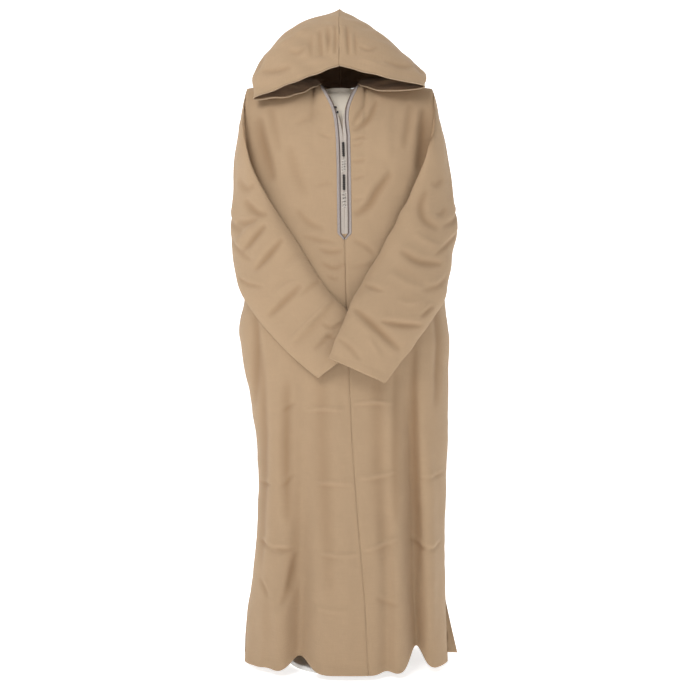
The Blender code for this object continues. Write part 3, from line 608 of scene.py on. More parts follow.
# creases of the front, in (x, z): points, height (minus is a trough), half width, side of its lower neighbour
body = {
    "lowerRows": 236, "upperRows": 72, "frontColumns": 92, "backColumns": 150,
    "armholeCreases": [
        ([(-0.192, 1.306), (-0.178, 1.236), (-0.162, 1.178), (-0.150, 1.127)], -0.0066, 0.0150, 0.5),
        ([(0.199, 1.329), (0.195, 1.236), (0.183, 1.155)], -0.0066, 0.0150, -0.5),
        ([(-0.160, 1.330), (-0.150, 1.262), (-0.134, 1.196)], -0.0033, 0.0120, 0.6),
        ([(0.168, 1.336), (0.160, 1.262), (0.148, 1.206)], -0.0036, 0.0120, -0.6),
    ],
    "chestCreases": [
        ([(0.029, 1.262), (0.043, 1.290), (0.062, 1.322)], -0.0045, 0.0065, 0.9),
        ([(0.029, 1.250), (0.066, 1.283), (0.092, 1.340)], -0.0054, 0.0080, 0.9),
        ([(0.030, 1.232), (0.046, 1.237), (0.064, 1.240)], -0.0030, 0.0045, 0.8),
        ([(0.030, 1.218), (0.045, 1.221), (0.058, 1.228)], -0.0021, 0.0040, 0.8),
        ([(0.030, 1.180), (0.046, 1.183), (0.062, 1.188)], -0.0027, 0.0050, 0.8),
        ([(0.030, 1.140), (0.044, 1.143), (0.060, 1.150)], -0.0024, 0.0045, 0.8),
        ([(0.030, 1.090), (0.045, 1.093), (0.060, 1.100)], -0.0027, 0.0050, 0.8),
        ([(0.028, 1.053), (0.066, 1.078), (0.091, 1.119), (0.128, 1.166)], -0.0063, 0.0100, 0.9),
        ([(-0.012, 1.235), (-0.030, 1.240), (-0.050, 1.249)], -0.0015, 0.0050, 0.7),
        ([(-0.010, 1.130), (-0.034, 1.128), (-0.060, 1.120)], -0.0015, 0.0060, 0.7),
        ([(-0.120, 1.235), (-0.100, 1.160), (-0.072, 1.092)], -0.0024, 0.0150, 0.5),
        ([(-0.042, 1.310), (-0.070, 1.285), (-0.104, 1.270)], -0.0018, 0.0100, 0.6),
        ([(0.118, 1.330), (0.110, 1.250), (0.118, 1.180)], 0.0024, 0.0140, 0.5),
    ],
    "bellyCreases": [
        ([(-0.090, 1.010), (-0.044, 0.998), (-0.003, 0.991)], -0.0030, 0.0070, 0.8),
        ([(-0.049, 0.980), (-0.021, 0.971), (0.013, 0.975)], -0.0039, 0.0060, 0.9),
        ([(-0.044, 0.948), (-0.010, 0.934), (0.020, 0.948)], -0.0039, 0.0060, 0.9),
        ([(-0.030, 0.918), (-0.014, 0.910), (0.002, 0.907)], -0.0027, 0.0050, 0.9),
        ([(0.024, 0.941), (0.075, 0.948), (0.127, 0.941)], 0.0027, 0.0048, -0.9),
        ([(0.030, 1.000), (0.060, 0.985), (0.086, 0.962)], -0.0027, 0.0080, 0.7),
        ([(-0.100, 1.075), (-0.070, 1.040), (-0.028, 1.020)], -0.0033, 0.0090, 0.7),
    ],
    "packingCreases": [
        ([(-0.084, 0.609), (-0.032, 0.613), (0.020, 0.611)], 0.0024, 0.0042, -0.9),
        ([(0.024, 0.624), (0.074, 0.629), (0.130, 0.624)], 0.0025, 0.0042, -0.9),
        ([(-0.133, 0.603), (-0.115, 0.617), (-0.095, 0.629)], -0.0027, 0.0050, 0.8),
        ([(-0.057, 0.444), (-0.007, 0.446), (0.042, 0.444)], 0.0029, 0.0044, -0.9),
        ([(0.045, 0.457), (0.088, 0.461), (0.135, 0.471)], 0.0027, 0.0046, -0.9),
        ([(-0.193, 0.434), (-0.175, 0.433), (-0.155, 0.434)], -0.0036, 0.0046, 0.8),
        ([(-0.137, 0.430), (-0.117, 0.447), (-0.099, 0.465)], -0.0030, 0.0052, 0.8),
        ([(0.182, 0.447), (0.217, 0.452), (0.251, 0.460)], -0.0033, 0.0048, 0.8),
        ([(-0.195, 0.301), (-0.148, 0.287), (-0.098, 0.289)], -0.0045, 0.0062, 0.9),
        ([(-0.050, 0.285), (0.002, 0.283), (0.049, 0.285)], 0.0027, 0.0044, -0.9),
        ([(0.045, 0.293), (0.097, 0.306), (0.148, 0.325)], 0.0030, 0.0052, -0.9),
        ([(0.158, 0.314), (0.200, 0.286), (0.244, 0.299)], -0.0039, 0.0060, 0.9),
        ([(-0.095, 0.290), (-0.115, 0.202), (-0.152, 0.142)], -0.0051, 0.0110, 0.7),
        ([(-0.186, 0.216), (-0.174, 0.196), (-0.161, 0.174)], -0.0036, 0.0070, 0.7),
        ([(0.060, 0.780), (0.100, 0.776), (0.134, 0.781)], 0.0018, 0.0048, -0.8),
        ([(-0.070, 0.170), (-0.020, 0.158), (0.030, 0.160)], 0.0018, 0.0050, -0.8),
        ([(0.080, 0.190), (0.110, 0.170), (0.140, 0.168)], -0.0021, 0.0070, 0.7),
    ],
    "longTroughs": [
        ([(0.176, 0.800), (0.170, 0.560), (0.186, 0.200)], -0.0066, 0.0130, -0.6),
        ([(-0.180, 0.790), (-0.174, 0.520), (-0.184, 0.200)], -0.0054, 0.0120, 0.6),
        ([(-0.117, 0.700), (-0.121, 0.496), (-0.117, 0.330)], -0.0060, 0.0150, 0.5),
        ([(0.131, 0.740), (0.129, 0.542), (0.130, 0.330)], -0.0051, 0.0130, -0.5),
        ([(-0.196, 0.850), (-0.191, 0.754), (-0.198, 0.600)], -0.0060, 0.0110, 0.5),
        ([(0.222, 0.880), (0.229, 0.754), (0.222, 0.600)], -0.0060, 0.0110, -0.5),
        ([(-0.040, 0.780), (-0.036, 0.520), (-0.018, 0.160)], -0.0033, 0.0200, 0.4),
        ([(0.092, 0.800), (0.090, 0.520), (0.104, 0.220)], -0.0036, 0.0180, 0.4),
        ([(0.016, 0.400), (0.020, 0.220), (0.016, 0.030)], 0.0045, 0.0180, 0.4),
        ([(0.206, 0.560), (0.212, 0.360), (0.214, 0.060)], 0.0060, 0.0140, 0.4),
        ([(-0.150, 0.400), (-0.150, 0.250), (-0.140, 0.050)], 0.0045, 0.0140, 0.4),
    ],
    "backCreases": [
        ([(-0.150, 1.300), (-0.135, 1.210), (-0.120, 1.130)], -0.0075, 0.0150, 0.5),
        ([(0.155, 1.300), (0.140, 1.215), (0.128, 1.140)], -0.0075, 0.0150, -0.5),
        ([(-0.060, 1.330), (-0.075, 1.260), (-0.070, 1.180)], -0.0033, 0.0140, 0.6),
        ([(0.050, 1.330), (0.066, 1.255), (0.064, 1.170)], -0.0036, 0.0140, -0.6),
        ([(-0.120, 1.060), (-0.040, 1.046), (0.050, 1.052)], -0.0039, 0.0110, 0.8),
        ([(0.030, 0.985), (0.100, 0.978), (0.160, 0.990)], -0.0036, 0.0100, 0.8),
        ([(-0.170, 0.930), (-0.100, 0.915), (-0.036, 0.922)], -0.0039, 0.0100, 0.8),
        ([(-0.200, 0.612), (-0.110, 0.617), (-0.030, 0.611)], 0.0027, 0.0046, -0.9),
        ([(-0.024, 0.626), (0.070, 0.624), (0.150, 0.630)], 0.0027, 0.0046, -0.9),
        ([(-0.190, 0.448), (-0.110, 0.444), (-0.020, 0.446)], 0.0027, 0.0046, -0.9),
        ([(-0.010, 0.460), (0.080, 0.458), (0.190, 0.466)], 0.0030, 0.0046, -0.9),
        ([(-0.180, 0.288), (-0.100, 0.284), (-0.040, 0.290)], -0.0039, 0.0060, 0.9),
        ([(-0.020, 0.296), (0.060, 0.300), (0.140, 0.312)], 0.0030, 0.0052, -0.9),
        ([(0.150, 0.312), (0.190, 0.290), (0.230, 0.296)], -0.0036, 0.0060, 0.9),
        ([(-0.100, 0.760), (-0.098, 0.560), (-0.104, 0.300)], -0.0060, 0.0140, 0.5),
        ([(0.020, 0.820), (0.016, 0.560), (0.014, 0.240)], -0.0051, 0.0160, 0.5),
        ([(0.130, 0.780), (0.126, 0.560), (0.132, 0.300)], -0.0054, 0.0140, -0.5),
        ([(-0.190, 0.860), (-0.196, 0.700), (-0.190, 0.540)], -0.0060, 0.0130, 0.5),
        ([(0.205, 0.880), (0.214, 0.720), (0.206, 0.560)], -0.0060, 0.0130, -0.5),
    ],
    "seamDip": 0.0011, "seamWidth": 0.0032,
    "hemDepth": 0.022, "hemDip": 0.0006, "hemThick": 0.00045, "slitHem": 0.012,
    "waves": 0.0009,
    "seeds": {"left": 11, "right": 23, "back": 37},
    "seamClosing": 0.0006, "closingFade": 0.02,   # the seam's gap is closed below the opening
}


# how far cloth dips at a seam or a stitch line: distance is from the line, in metres
def seamDip(distance, dip, width):
    return -dip * np.exp(-((distance / width) ** 2))


# a panel's final points: its grid, moved along its normals by creases and waves, which fade at the seams,
# then by the dips of seams and stitch lines and by the turned hem
def finishPanel(grid, creases, outward, seed, sideEdges):
    x, z = grid[..., 0], grid[..., 2]
    normals = gridNormals(grid, outward)
    crease = creaseHeight(x, z, creases)
    u, v = clothMeasure(grid)
    across, down = u[:, -1:] - u, v[-1:] - v
    waves = softWaves(x, z, seed, 0.11, body["waves"])
    waves = waves + softWaves(x, z, seed + 1, 0.045, body["waves"] * 0.35)
    height = (crease + waves) * (0.25 + 0.75 * smoothStep(np.minimum(u, across), 0.0, 0.010))
    for distance in (u, across, down):
        height = height + seamDip(distance, body["seamDip"], body["seamWidth"])
    hem, slit = body["hemDepth"], body["slitHem"]
    height = height + body["hemThick"] * smoothStep(hem + 0.001 - v, 0.0, 0.002)
    height = height + seamDip(v - hem, body["hemDip"], 0.0016)
    slitPart = smoothStep(cloth["slitTop"] + slit - z, 0.0, 0.006)
    for distance in sideEdges(u, across):
        height = height + slitPart * seamDip(distance - slit, body["hemDip"], 0.0014)
    return grid + normals * height[..., None], crease, (u, v)


def makeFront(name, side):
    grid = frontGrid(side, body["lowerRows"], body["upperRows"], body["frontColumns"])
    outward = np.broadcast_to(np.array([0.0, -1.0, 0.0]), grid.shape)
    creases = (body["armholeCreases"] + body["chestCreases"] + body["bellyCreases"] + body["packingCreases"]
               + body["longTroughs"])
    seed = body["seeds"]["left" if side < 0 else "right"]
    points, crease, uv = finishPanel(grid, creases, outward, seed, lambda u, across: [across])
    top = cloth["placketTop"]
    closed = 1 - smoothStep(points[:, 0, 2], top - body["closingFade"], top)
    points[:, 0, 0] -= side * body["seamClosing"] * closed
    piece = gridMesh(name, points, (uv[0] * side, uv[1]), flip=side > 0)
    return finishCloth(piece, crease, "front_left" if side < 0 else "front_right"), points


def makeBack():
    grid = backGrid(body["lowerRows"] - 30, body["upperRows"] - 12, body["backColumns"])
    outward = np.broadcast_to(np.array([0.0, 1.0, 0.0]), grid.shape)
    points, crease, uv = finishPanel(grid, body["backCreases"], outward, body["seeds"]["back"],
                                     lambda u, across: [u, across])
    piece = gridMesh("robe_back", points, uv, flip=True)
    return finishCloth(piece, crease, "back")


frontLeft, frontLeftPoints = makeFront("robe_front_left", -1)
frontRight, frontRightPoints = makeFront("robe_front_right", 1)
robeBack = makeBack()
print("djellaba: body panels made")


# stations of each sleeve, shoulder to cuff: (inner fold, outer fold, middle of the shown layer, of the other)
rightSleeve = [
    ((0.207, -0.100, 1.210), (0.238, 0.060, 1.193), (0.236, -0.037, 1.308), (0.238, -0.010, 1.098)),
    ((0.181, -0.112, 1.145), (0.253, 0.036, 1.120), (0.253, -0.063, 1.167), (0.242, -0.050, 1.055)),
    ((0.118, -0.139, 1.012), (0.277, -0.012, 1.045), (0.225, -0.122, 1.045), (0.212, -0.092, 1.021)),
    ((0.070, -0.149, 0.927), (0.262, -0.062, 0.955), (0.178, -0.160, 0.945), (0.170, -0.124, 0.942)),
    ((0.033, -0.168, 0.860), (0.241, -0.092, 0.862), (0.143, -0.182, 0.862), (0.138, -0.146, 0.862)),
    ((0.004, -0.184, 0.789), (0.196, -0.138, 0.796), (0.103, -0.197, 0.795), (0.101, -0.172, 0.795)),
    ((-0.023, -0.192, 0.729), (0.102, -0.182, 0.673), (0.040, -0.201, 0.701), (0.040, -0.182, 0.701)),
]
leftSleeve = [
    ((-0.213, -0.092, 1.210), (-0.233, 0.055, 1.198), (-0.235, -0.034, 1.301), (-0.236, -0.020, 1.098)),
    ((-0.186, -0.120, 1.136), (-0.242, 0.040, 1.120), (-0.243, -0.057, 1.165), (-0.235, -0.051, 1.055)),
    ((-0.113, -0.136, 1.015), (-0.256, -0.007, 1.035), (-0.212, -0.118, 1.040), (-0.203, -0.089, 1.022)),
    ((-0.063, -0.142, 0.935), (-0.246, -0.050, 0.945), (-0.165, -0.146, 0.940), (-0.160, -0.118, 0.940)),
    ((-0.022, -0.146, 0.878), (-0.224, -0.086, 0.875), (-0.128, -0.156, 0.875), (-0.125, -0.131, 0.875)),
    ((0.030, -0.154, 0.822), (-0.148, -0.130, 0.775), (-0.058, -0.165, 0.800), (-0.058, -0.144, 0.800)),
    ((0.063, -0.157, 0.766), (-0.046, -0.157, 0.684), (0.008, -0.169, 0.725), (0.008, -0.153, 0.725)),
]

# creases of each sleeve's shown layer in (x, z), of its other layer in turns round and share of the length
sleeve = {
    "rows": 190, "columns": 104, "gap": 0.0018, "underBend": 2.0, "seed": 50,
    "leftCreases": [
        ([(-0.234, 1.300), (-0.240, 1.240), (-0.243, 1.180)], 0.0033, 0.0090, 0.6),
        ([(-0.222, 1.340), (-0.218, 1.270), (-0.206, 1.200)], -0.0045, 0.0090, 0.7),
        ([(-0.226, 0.972), (-0.195, 1.004), (-0.163, 1.036)], -0.0060, 0.0085, 0.9),
        ([(-0.196, 0.926), (-0.159, 0.965), (-0.122, 1.004)], -0.0060, 0.0080, 0.9),
        ([(-0.166, 0.820), (-0.121, 0.861), (-0.079, 0.899)], -0.0051, 0.0080, 0.9),
        ([(-0.115, 0.762), (-0.062, 0.815), (-0.010, 0.868)], 0.0054, 0.0070, -0.9),
        ([(-0.221, 1.098), (-0.189, 1.062), (-0.157, 1.056)], -0.0051, 0.0090, 0.8),
        ([(-0.246, 1.050), (-0.214, 1.040), (-0.182, 1.048)], -0.0042, 0.0080, 0.8),
        ([(-0.240, 1.150), (-0.214, 1.120), (-0.190, 1.130)], -0.0036, 0.0090, 0.8),
        ([(-0.250, 0.992), (-0.222, 1.010), (-0.198, 1.036)], 0.0033, 0.0070, 0.8),
        ([(-0.090, 0.868), (-0.052, 0.898), (-0.020, 0.912)], -0.0027, 0.0060, 0.8),
        ([(-0.120, 0.925), (-0.092, 0.948), (-0.068, 0.952)], 0.0024, 0.0070, 0.8),
        ([(-0.060, 0.745), (-0.034, 0.768), (-0.004, 0.792)], -0.0030, 0.0060, 0.9),
        ([(-0.039, 0.812), (-0.016, 0.796), (0.013, 0.812)], -0.0036, 0.0055, 0.9),
        ([(-0.032, 0.783), (-0.018, 0.776), (-0.003, 0.774)], -0.0030, 0.0050, 0.8),
        ([(-0.150, 0.868), (-0.128, 0.890), (-0.100, 0.905)], 0.0021, 0.0060, 0.7),
    ],
    "rightCreases": [
        ([(0.234, 1.300), (0.242, 1.240), (0.246, 1.180)], 0.0033, 0.0090, -0.6),
        ([(0.222, 1.336), (0.216, 1.270), (0.204, 1.200)], -0.0045, 0.0090, -0.7),
        ([(0.208, 1.122), (0.190, 1.084), (0.196, 1.046), (0.236, 1.022)], -0.0054, 0.0100, 0.8),
        ([(0.134, 0.976), (0.183, 0.947), (0.244, 0.946)], -0.0054, 0.0090, 0.8),
        ([(0.026, 0.846), (0.082, 0.796), (0.144, 0.740)], -0.0063, 0.0085, -0.9),
        ([(0.086, 0.812), (0.141, 0.803), (0.195, 0.802)], -0.0054, 0.0075, 0.9),
        ([(0.183, 0.821), (0.200, 0.834), (0.218, 0.850)], -0.0042, 0.0065, 0.9),
        ([(0.054, 0.896), (0.078, 0.886), (0.101, 0.878)], -0.0033, 0.0060, 0.8),
        ([(0.250, 1.080), (0.236, 1.060), (0.222, 1.064)], -0.0036, 0.0070, 0.8),
        ([(0.110, 0.925), (0.150, 0.900), (0.200, 0.884)], 0.0030, 0.0100, 0.8),
        ([(0.060, 0.780), (0.082, 0.752), (0.096, 0.726)], 0.0027, 0.0060, 0.8),
        ([(-0.004, 0.776), (0.026, 0.752), (0.050, 0.722)], -0.0027, 0.0060, 0.8),
        ([(0.130, 0.860), (0.160, 0.852), (0.196, 0.862)], 0.0024, 0.0070, 0.8),
        ([(0.244, 1.150), (0.226, 1.128), (0.210, 1.136)], -0.0033, 0.0090, 0.8),
        ([(0.170, 1.016), (0.196, 0.996), (0.230, 0.988)], 0.0030, 0.0080, 0.8),
    ],
    "hiddenCreases": [
        ([(-0.10, 0.18), (-0.16, 0.30), (-0.14, 0.44)], -0.0036, 0.0100, 0.7),
        ([(-0.20, 0.30), (-0.12, 0.34), (-0.06, 0.42)], -0.0039, 0.0090, 0.8),
        ([(-0.22, 0.44), (-0.14, 0.46), (-0.06, 0.52)], -0.0039, 0.0090, 0.8),
        ([(-0.20, 0.60), (-0.14, 0.64), (-0.08, 0.74)], -0.0033, 0.0080, 0.8),
        ([(-0.16, 0.76), (-0.10, 0.80), (-0.06, 0.88)], 0.0030, 0.0080, -0.8),
    ],
    "lateralCreases": [
        ([(0.36, 0.10), (0.40, 0.24), (0.38, 0.38)], -0.0045, 0.0120, 0.7),
        ([(0.30, 0.16), (0.31, 0.28), (0.34, 0.40)], 0.0033, 0.0120, 0.6),
        ([(0.44, 0.36), (0.36, 0.43), (0.28, 0.45)], -0.0045, 0.0100, 0.8),
        ([(0.46, 0.46), (0.38, 0.50), (0.30, 0.56)], -0.0039, 0.0090, 0.8),
        ([(0.44, 0.62), (0.38, 0.66), (0.30, 0.68)], -0.0033, 0.0090, 0.8),
    ],
    "waves": 0.0009,
    "edgeRidge": 0.0022,      # the pressed folds of the sleeve stand a little proud
    "cuffHem": 0.017, "cuffDip": 0.0005, "cuffThick": 0.0005,
    "seamDip": 0.0009, "seamWidth": 0.0030,
}


# one ring of a sleeve at each station: half its width times the cosine, half its thickness times the sine,
# and a bend of its middle line that follows the sine on the shown layer and its square on the other
def sleeveGrid(stations, side, rows, columns):
    low, high = cloth["underarm"], cloth["armholeTop"]
    middle = np.array([side * (cloth["armholeX"] + sleeve["gap"]), 0, (low + high) / 2])
    up = np.array([side * cloth["armholeLean"], 0, (high - low) / 2])
    depth = np.array([0, cloth["armholeDepth"], 0])
    armhole = (middle - depth, middle + depth, middle + up, middle - up)
    corners = alongStations([armhole, *stations], rows)[:, :, None]
    inner, outer, shown, hidden = corners[:, 0], corners[:, 1], corners[:, 2], corners[:, 3]
    centre = (inner + outer) / 2
    angles = (2 * pi * np.arange(columns) / columns)[None, :, None]
    swell = np.abs(np.sin(angles))
    bend = np.where(np.sin(angles) > 0, swell, swell ** sleeve["underBend"]) * ((shown + hidden) / 2 - centre)
    return centre + np.cos(angles) * (inner - outer) / 2 + bend + np.sin(angles) * (shown - hidden) / 2


def makeSleeve(name, stations, side, creases):
    rows, columns = sleeve["rows"], sleeve["columns"]
    grid = sleeveGrid(stations, side, rows, columns)
    outward = grid - grid.mean(axis=1, keepdims=True)
    normals = gridNormals(grid, outward, wraps=True)
    turn = np.broadcast_to(np.arange(columns) / columns, (rows, columns))
    share = np.broadcast_to(np.linspace(0, 1, rows)[:, None], (rows, columns))
    signedTurn = np.where(turn > 0.5, turn - 1, turn)
    shownLayer = smoothStep(np.sin(2 * pi * turn), 0.05, 0.35)
    x, z = grid[..., 0], grid[..., 2]
    steps = np.linalg.norm(np.diff(grid, axis=0), axis=2).mean(axis=1)
    along = np.concatenate([[0.0], np.cumsum(steps)])[:, None]
    around = np.linalg.norm(np.roll(grid, -1, axis=1) - grid, axis=2).sum(axis=1)[:, None]

    # the other layer's creases are given in turns and share, so both are stretched to the cloth's own metres
    def inMetres(listed):
        return [([(a * around.mean(), b * along[-1, 0]) for a, b in points], size, width, lean)
                for points, size, width, lean in listed]

    front = creaseHeight(x, z, creases) * shownLayer * smoothStep(share, 0.02, 0.12)
    a, b = signedTurn * around.mean(), share * along[-1, 0]
    other = creaseHeight(a, b, inMetres(sleeve["hiddenCreases"]))
    lateral = creaseHeight(a, b, inMetres(sleeve["lateralCreases"]))
    waves = softWaves(x + z, grid[..., 1] + z * 0.4, sleeve["seed"] + side, 0.085, sleeve["waves"])
    crease = front + other + lateral
    toEnd = along[-1] - along
    ends = smoothStep(along, 0.0, 0.012) * smoothStep(toEnd, 0.0, 0.010)
    height = (crease + waves) * (0.15 + 0.85 * ends)
    fold = np.abs(np.cos(2 * pi * turn)) ** 60
    height = height + sleeve["edgeRidge"] * fold * smoothStep(share, 0.25, 0.5) * ends
    hem = sleeve["cuffHem"]
    height = height + sleeve["cuffThick"] * smoothStep(hem + 0.001 - toEnd, 0.0, 0.002)
    height = height + seamDip(toEnd - hem, sleeve["cuffDip"], 0.0014)
    height = height + seamDip(along, sleeve["seamDip"], 0.004)
    points = grid + normals * height[..., None]
    u = turn * around
    piece = gridMesh(name, points, (u, np.broadcast_to(along, u.shape)), wraps=True,
                     flip=not facesOutward(grid, outward, wraps=True))
    return finishCloth(piece, crease, "sleeve_left" if side < 0 else "sleeve_right")


sleeveLeft = makeSleeve("robe_sleeve_left", leftSleeve, -1, sleeve["leftCreases"])
sleeveRight = makeSleeve("robe_sleeve_right", rightSleeve, 1, sleeve["rightCreases"])
print("djellaba: sleeves made")


hood = {
    # control net of the left half: rows from the mouth back, points from the neck up to the centre seam
    "net": [((-0.0425, -0.056, 1.3755), (-0.115, -0.090, 1.340), (-0.200, -0.077, 1.337),
             (-0.118, -0.116, 1.360), (-0.0006, -0.112, 1.405)),
            ((-0.0560, -0.024, 1.3960), (-0.130, -0.040, 1.394), (-0.204, -0.022, 1.412),
             (-0.134, -0.062, 1.472), (-0.0006, -0.070, 1.508)),
            ((-0.0520, 0.030, 1.3980), (-0.110, 0.048, 1.410), (-0.150, 0.056, 1.450),
             (-0.104, 0.020, 1.536), (-0.0006, 0.000, 1.570)),
            ((-0.0006, 0.064, 1.3980), (-0.0006, 0.096, 1.430), (-0.0006, 0.108, 1.480),
             (-0.0006, 0.092, 1.538), (-0.0006, 0.046, 1.588))],
    "rightRise": 0.028, "riseShares": (0.4, 1.0, 0.5), "rightSlope": 0.032,
    "rows": 96, "columns": 120, "seed": 71,
    "pulledFrom": -0.045, "pulledTo": -0.015, "pullFade": 0.022, "neckLap": 0.0006,
    "creases": [
        ([(-0.046, 1.506), (-0.044, 1.467), (-0.040, 1.424)], -0.0045, 0.0050, 0.9),
        ([(-0.027, 1.514), (-0.025, 1.474), (-0.025, 1.432)], -0.0048, 0.0046, 0.9),
        ([(-0.011, 1.519), (-0.008, 1.469), (-0.011, 1.427)], -0.0045, 0.0040, 0.9),
        ([(0.018, 1.515), (0.020, 1.467), (0.022, 1.427)], -0.0048, 0.0046, -0.9),
        ([(0.036, 1.498), (0.038, 1.462), (0.040, 1.428)], -0.0030, 0.0046, -0.9),
        ([(-0.064, 1.490), (-0.066, 1.456), (-0.064, 1.424)], -0.0024, 0.0060, 0.8),
        ([(-0.119, 1.450), (-0.097, 1.440), (-0.075, 1.453)], -0.0027, 0.0060, 0.8),
        ([(0.045, 1.459), (0.067, 1.446), (0.091, 1.456)], -0.0027, 0.0060, 0.8),
        ([(-0.150, 1.462), (-0.110, 1.486), (-0.068, 1.516)], 0.0027, 0.0090, 0.7),
        ([(-0.190, 1.405), (-0.150, 1.398), (-0.105, 1.404)], -0.0033, 0.0090, 0.8),
        ([(0.100, 1.420), (0.146, 1.410), (0.190, 1.424)], -0.0033, 0.0090, 0.8),
        ([(0.070, 1.520), (0.106, 1.494), (0.142, 1.466)], 0.0027, 0.0090, 0.7),
        ([(0.172, 1.446), (0.186, 1.420), (0.196, 1.396)], -0.0036, 0.0080, -0.8),
        ([(-0.176, 1.450), (-0.190, 1.424), (-0.200, 1.396)], -0.0036, 0.0080, 0.8),
        ([(-0.090, 1.408), (-0.050, 1.420), (-0.016, 1.418)], 0.0021, 0.0070, 0.7),
        ([(0.020, 1.416), (0.060, 1.420), (0.100, 1.402)], 0.0021, 0.0070, 0.7),
    ],
    # the lower layer, which lies on the shoulders, and the back of the hood
    "lowerCreases": [
        ([(-0.180, 1.362), (-0.130, 1.372), (-0.090, 1.362)], -0.0030, 0.0060, 0.8),
        ([(-0.160, 1.392), (-0.110, 1.398), (-0.074, 1.388)], -0.0027, 0.0060, 0.8),
        ([(0.090, 1.378), (0.130, 1.384), (0.180, 1.376)], -0.0030, 0.0060, 0.8),
        ([(0.074, 1.398), (0.110, 1.404), (0.158, 1.398)], -0.0027, 0.0060, 0.8),
    ],
    "backCreases": [
        ([(-0.020, 1.560), (-0.030, 1.500), (-0.026, 1.440)], -0.0039, 0.0070, 0.8),
        ([(0.022, 1.556), (0.030, 1.500), (0.024, 1.436)], -0.0039, 0.0070, -0.8),
        ([(-0.120, 1.500), (-0.080, 1.450), (-0.040, 1.415)], -0.0045, 0.0100, 0.7),
        ([(0.116, 1.496), (0.080, 1.450), (0.042, 1.416)], -0.0045, 0.0100, -0.7),
        ([(-0.160, 1.440), (-0.110, 1.420), (-0.060, 1.404)], 0.0030, 0.0090, 0.7),
        ([(0.156, 1.446), (0.110, 1.424), (0.060, 1.404)], 0.0030, 0.0090, 0.7),
    ],
    "waves": 0.0011, "seamDip": 0.0007, "seamWidth": 0.0030, "overlap": 0.0004,
    "mouthHem": 0.014, "mouthDip": 0.0005, "mouthThick": 0.0006,
}


# a tensor of the smooth curves through the net: first along its rows, then along its columns
def hoodGrid(side, rows, columns):
    net = np.array(hood["net"])
    net[:, :, 0] *= -side
    if side > 0:
        net[0, 1:4, 2] += hood["rightRise"] * np.array(hood["riseShares"])
        net[1:3, 3, 0] -= hood["rightSlope"]
    first = alongStations(list(net), rows)
    return alongStations(list(first.transpose(1, 0, 2)), columns).transpose(1, 0, 2)


def makeHood(name, side):
    grid = hoodGrid(side, hood["rows"], hood["columns"])
    outward = np.zeros(grid.shape)
    outward[hood["rows"] // 2, hood["columns"] // 2, 0] = side
    normals = gridNormals(grid, outward)
    normals[-1] = normals[-2]
    u, v = clothMeasure(grid)

    # the neck edge is drawn down onto the neck of the body
    onNeck = smoothStep(grid[:, :1, 1], hood["pulledFrom"], hood["pulledTo"])
    onNeck = onNeck * (1 - smoothStep(u, 0.0, hood["pullFade"]))
    flatLength = np.linalg.norm(grid[:, 0, :2], axis=1)[:, None]
    target = grid[:, 0, :2] * (cloth["neckRadius"] / flatLength)
    grid[..., :2] += (target - grid[:, 0, :2])[:, None] * onNeck[..., None]
    grid[..., 2] += (cloth["shoulderNeck"] - hood["neckLap"] - grid[:, :1, 2]) * onNeck
    x, z = grid[..., 0], grid[..., 2]
    lookForward = smoothStep(-normals[..., 1], -0.15, 0.2)
    over = smoothStep(normals[..., 2], -0.3, 0.0)
    crease = (creaseHeight(x, z, hood["creases"]) * lookForward * over
              + creaseHeight(x, z, hood["lowerCreases"]) * (1 - over)
              + creaseHeight(x, z, hood["backCreases"]) * (1 - lookForward))
    toSeam = u[:, -1:] - u
    fromNeck = smoothStep(u, 0.0, 0.012)
    back = v[-1:] - v
    waves = softWaves(x, z + grid[..., 1], hood["seed"] + side, 0.07, hood["waves"])
    height = (crease + waves) * (0.3 + 0.7 * smoothStep(toSeam, 0.0, 0.006)) * fromNeck
    height = height * smoothStep(back, 0.0, 0.01)
    for distance in (toSeam, back):
        height = height + seamDip(distance, hood["seamDip"], hood["seamWidth"])
    hem = hood["mouthHem"]
    height = height + hood["mouthThick"] * smoothStep(hem + 0.001 - v, 0.0, 0.002) * fromNeck
    height = height + seamDip(v - hem, hood["mouthDip"], 0.0014)
    points = grid + normals * height[..., None]
    points[:, -1, 0] = -side * hood["overlap"]
    points[-1, :, 0] = -side * hood["overlap"]
    piece = gridMesh(name, points, (u * side, v), flip=not facesOutward(grid, normals))
    finishCloth(piece, crease, "hood_left" if side < 0 else "hood_right")
    # the hood's inner wall takes the darker brown: painted shade inside the hood
    piece.data.materials.append(hoodInsideShade)
    piece.modifiers[-1].material_offset = 1
    return piece, points


hoodLeft, hoodLeftPoints = makeHood("robe_hood_left", -1)
hoodRight, hoodRightPoints = makeHood("robe_hood_right", 1)
print("djellaba: hood made")


trim = {
    "braidInner": 0.0085,     # from the centre seam to the braid, below the open neck
    "braidEdge": 0.0012,
    "braidWidth": 0.0078,
    "braidThick": 0.0013,
    "layerGap": 0.0006,
    "plaitPitch": 0.0026,
    "closing": 0.075,
    "bandLift": 0.0009,
    "bottom": 1.000,          # where the two braids meet in a point
    "paleCord": (0.660, 0.610, 0.550),
    "bandColour": (0.470, 0.410, 0.360),
    "braidColour": (0.400, 0.345, 0.325),
    "braidDark": (0.120, 0.085, 0.070),
    "knotColour": (0.016, 0.010, 0.008),
    "darkBars": [(1.192, 1.226), (1.114, 1.150)],
    "paleBars": [(1.158, 1.184), (1.075, 1.108)],
    "neckKnots": [1.297, 1.309],
}


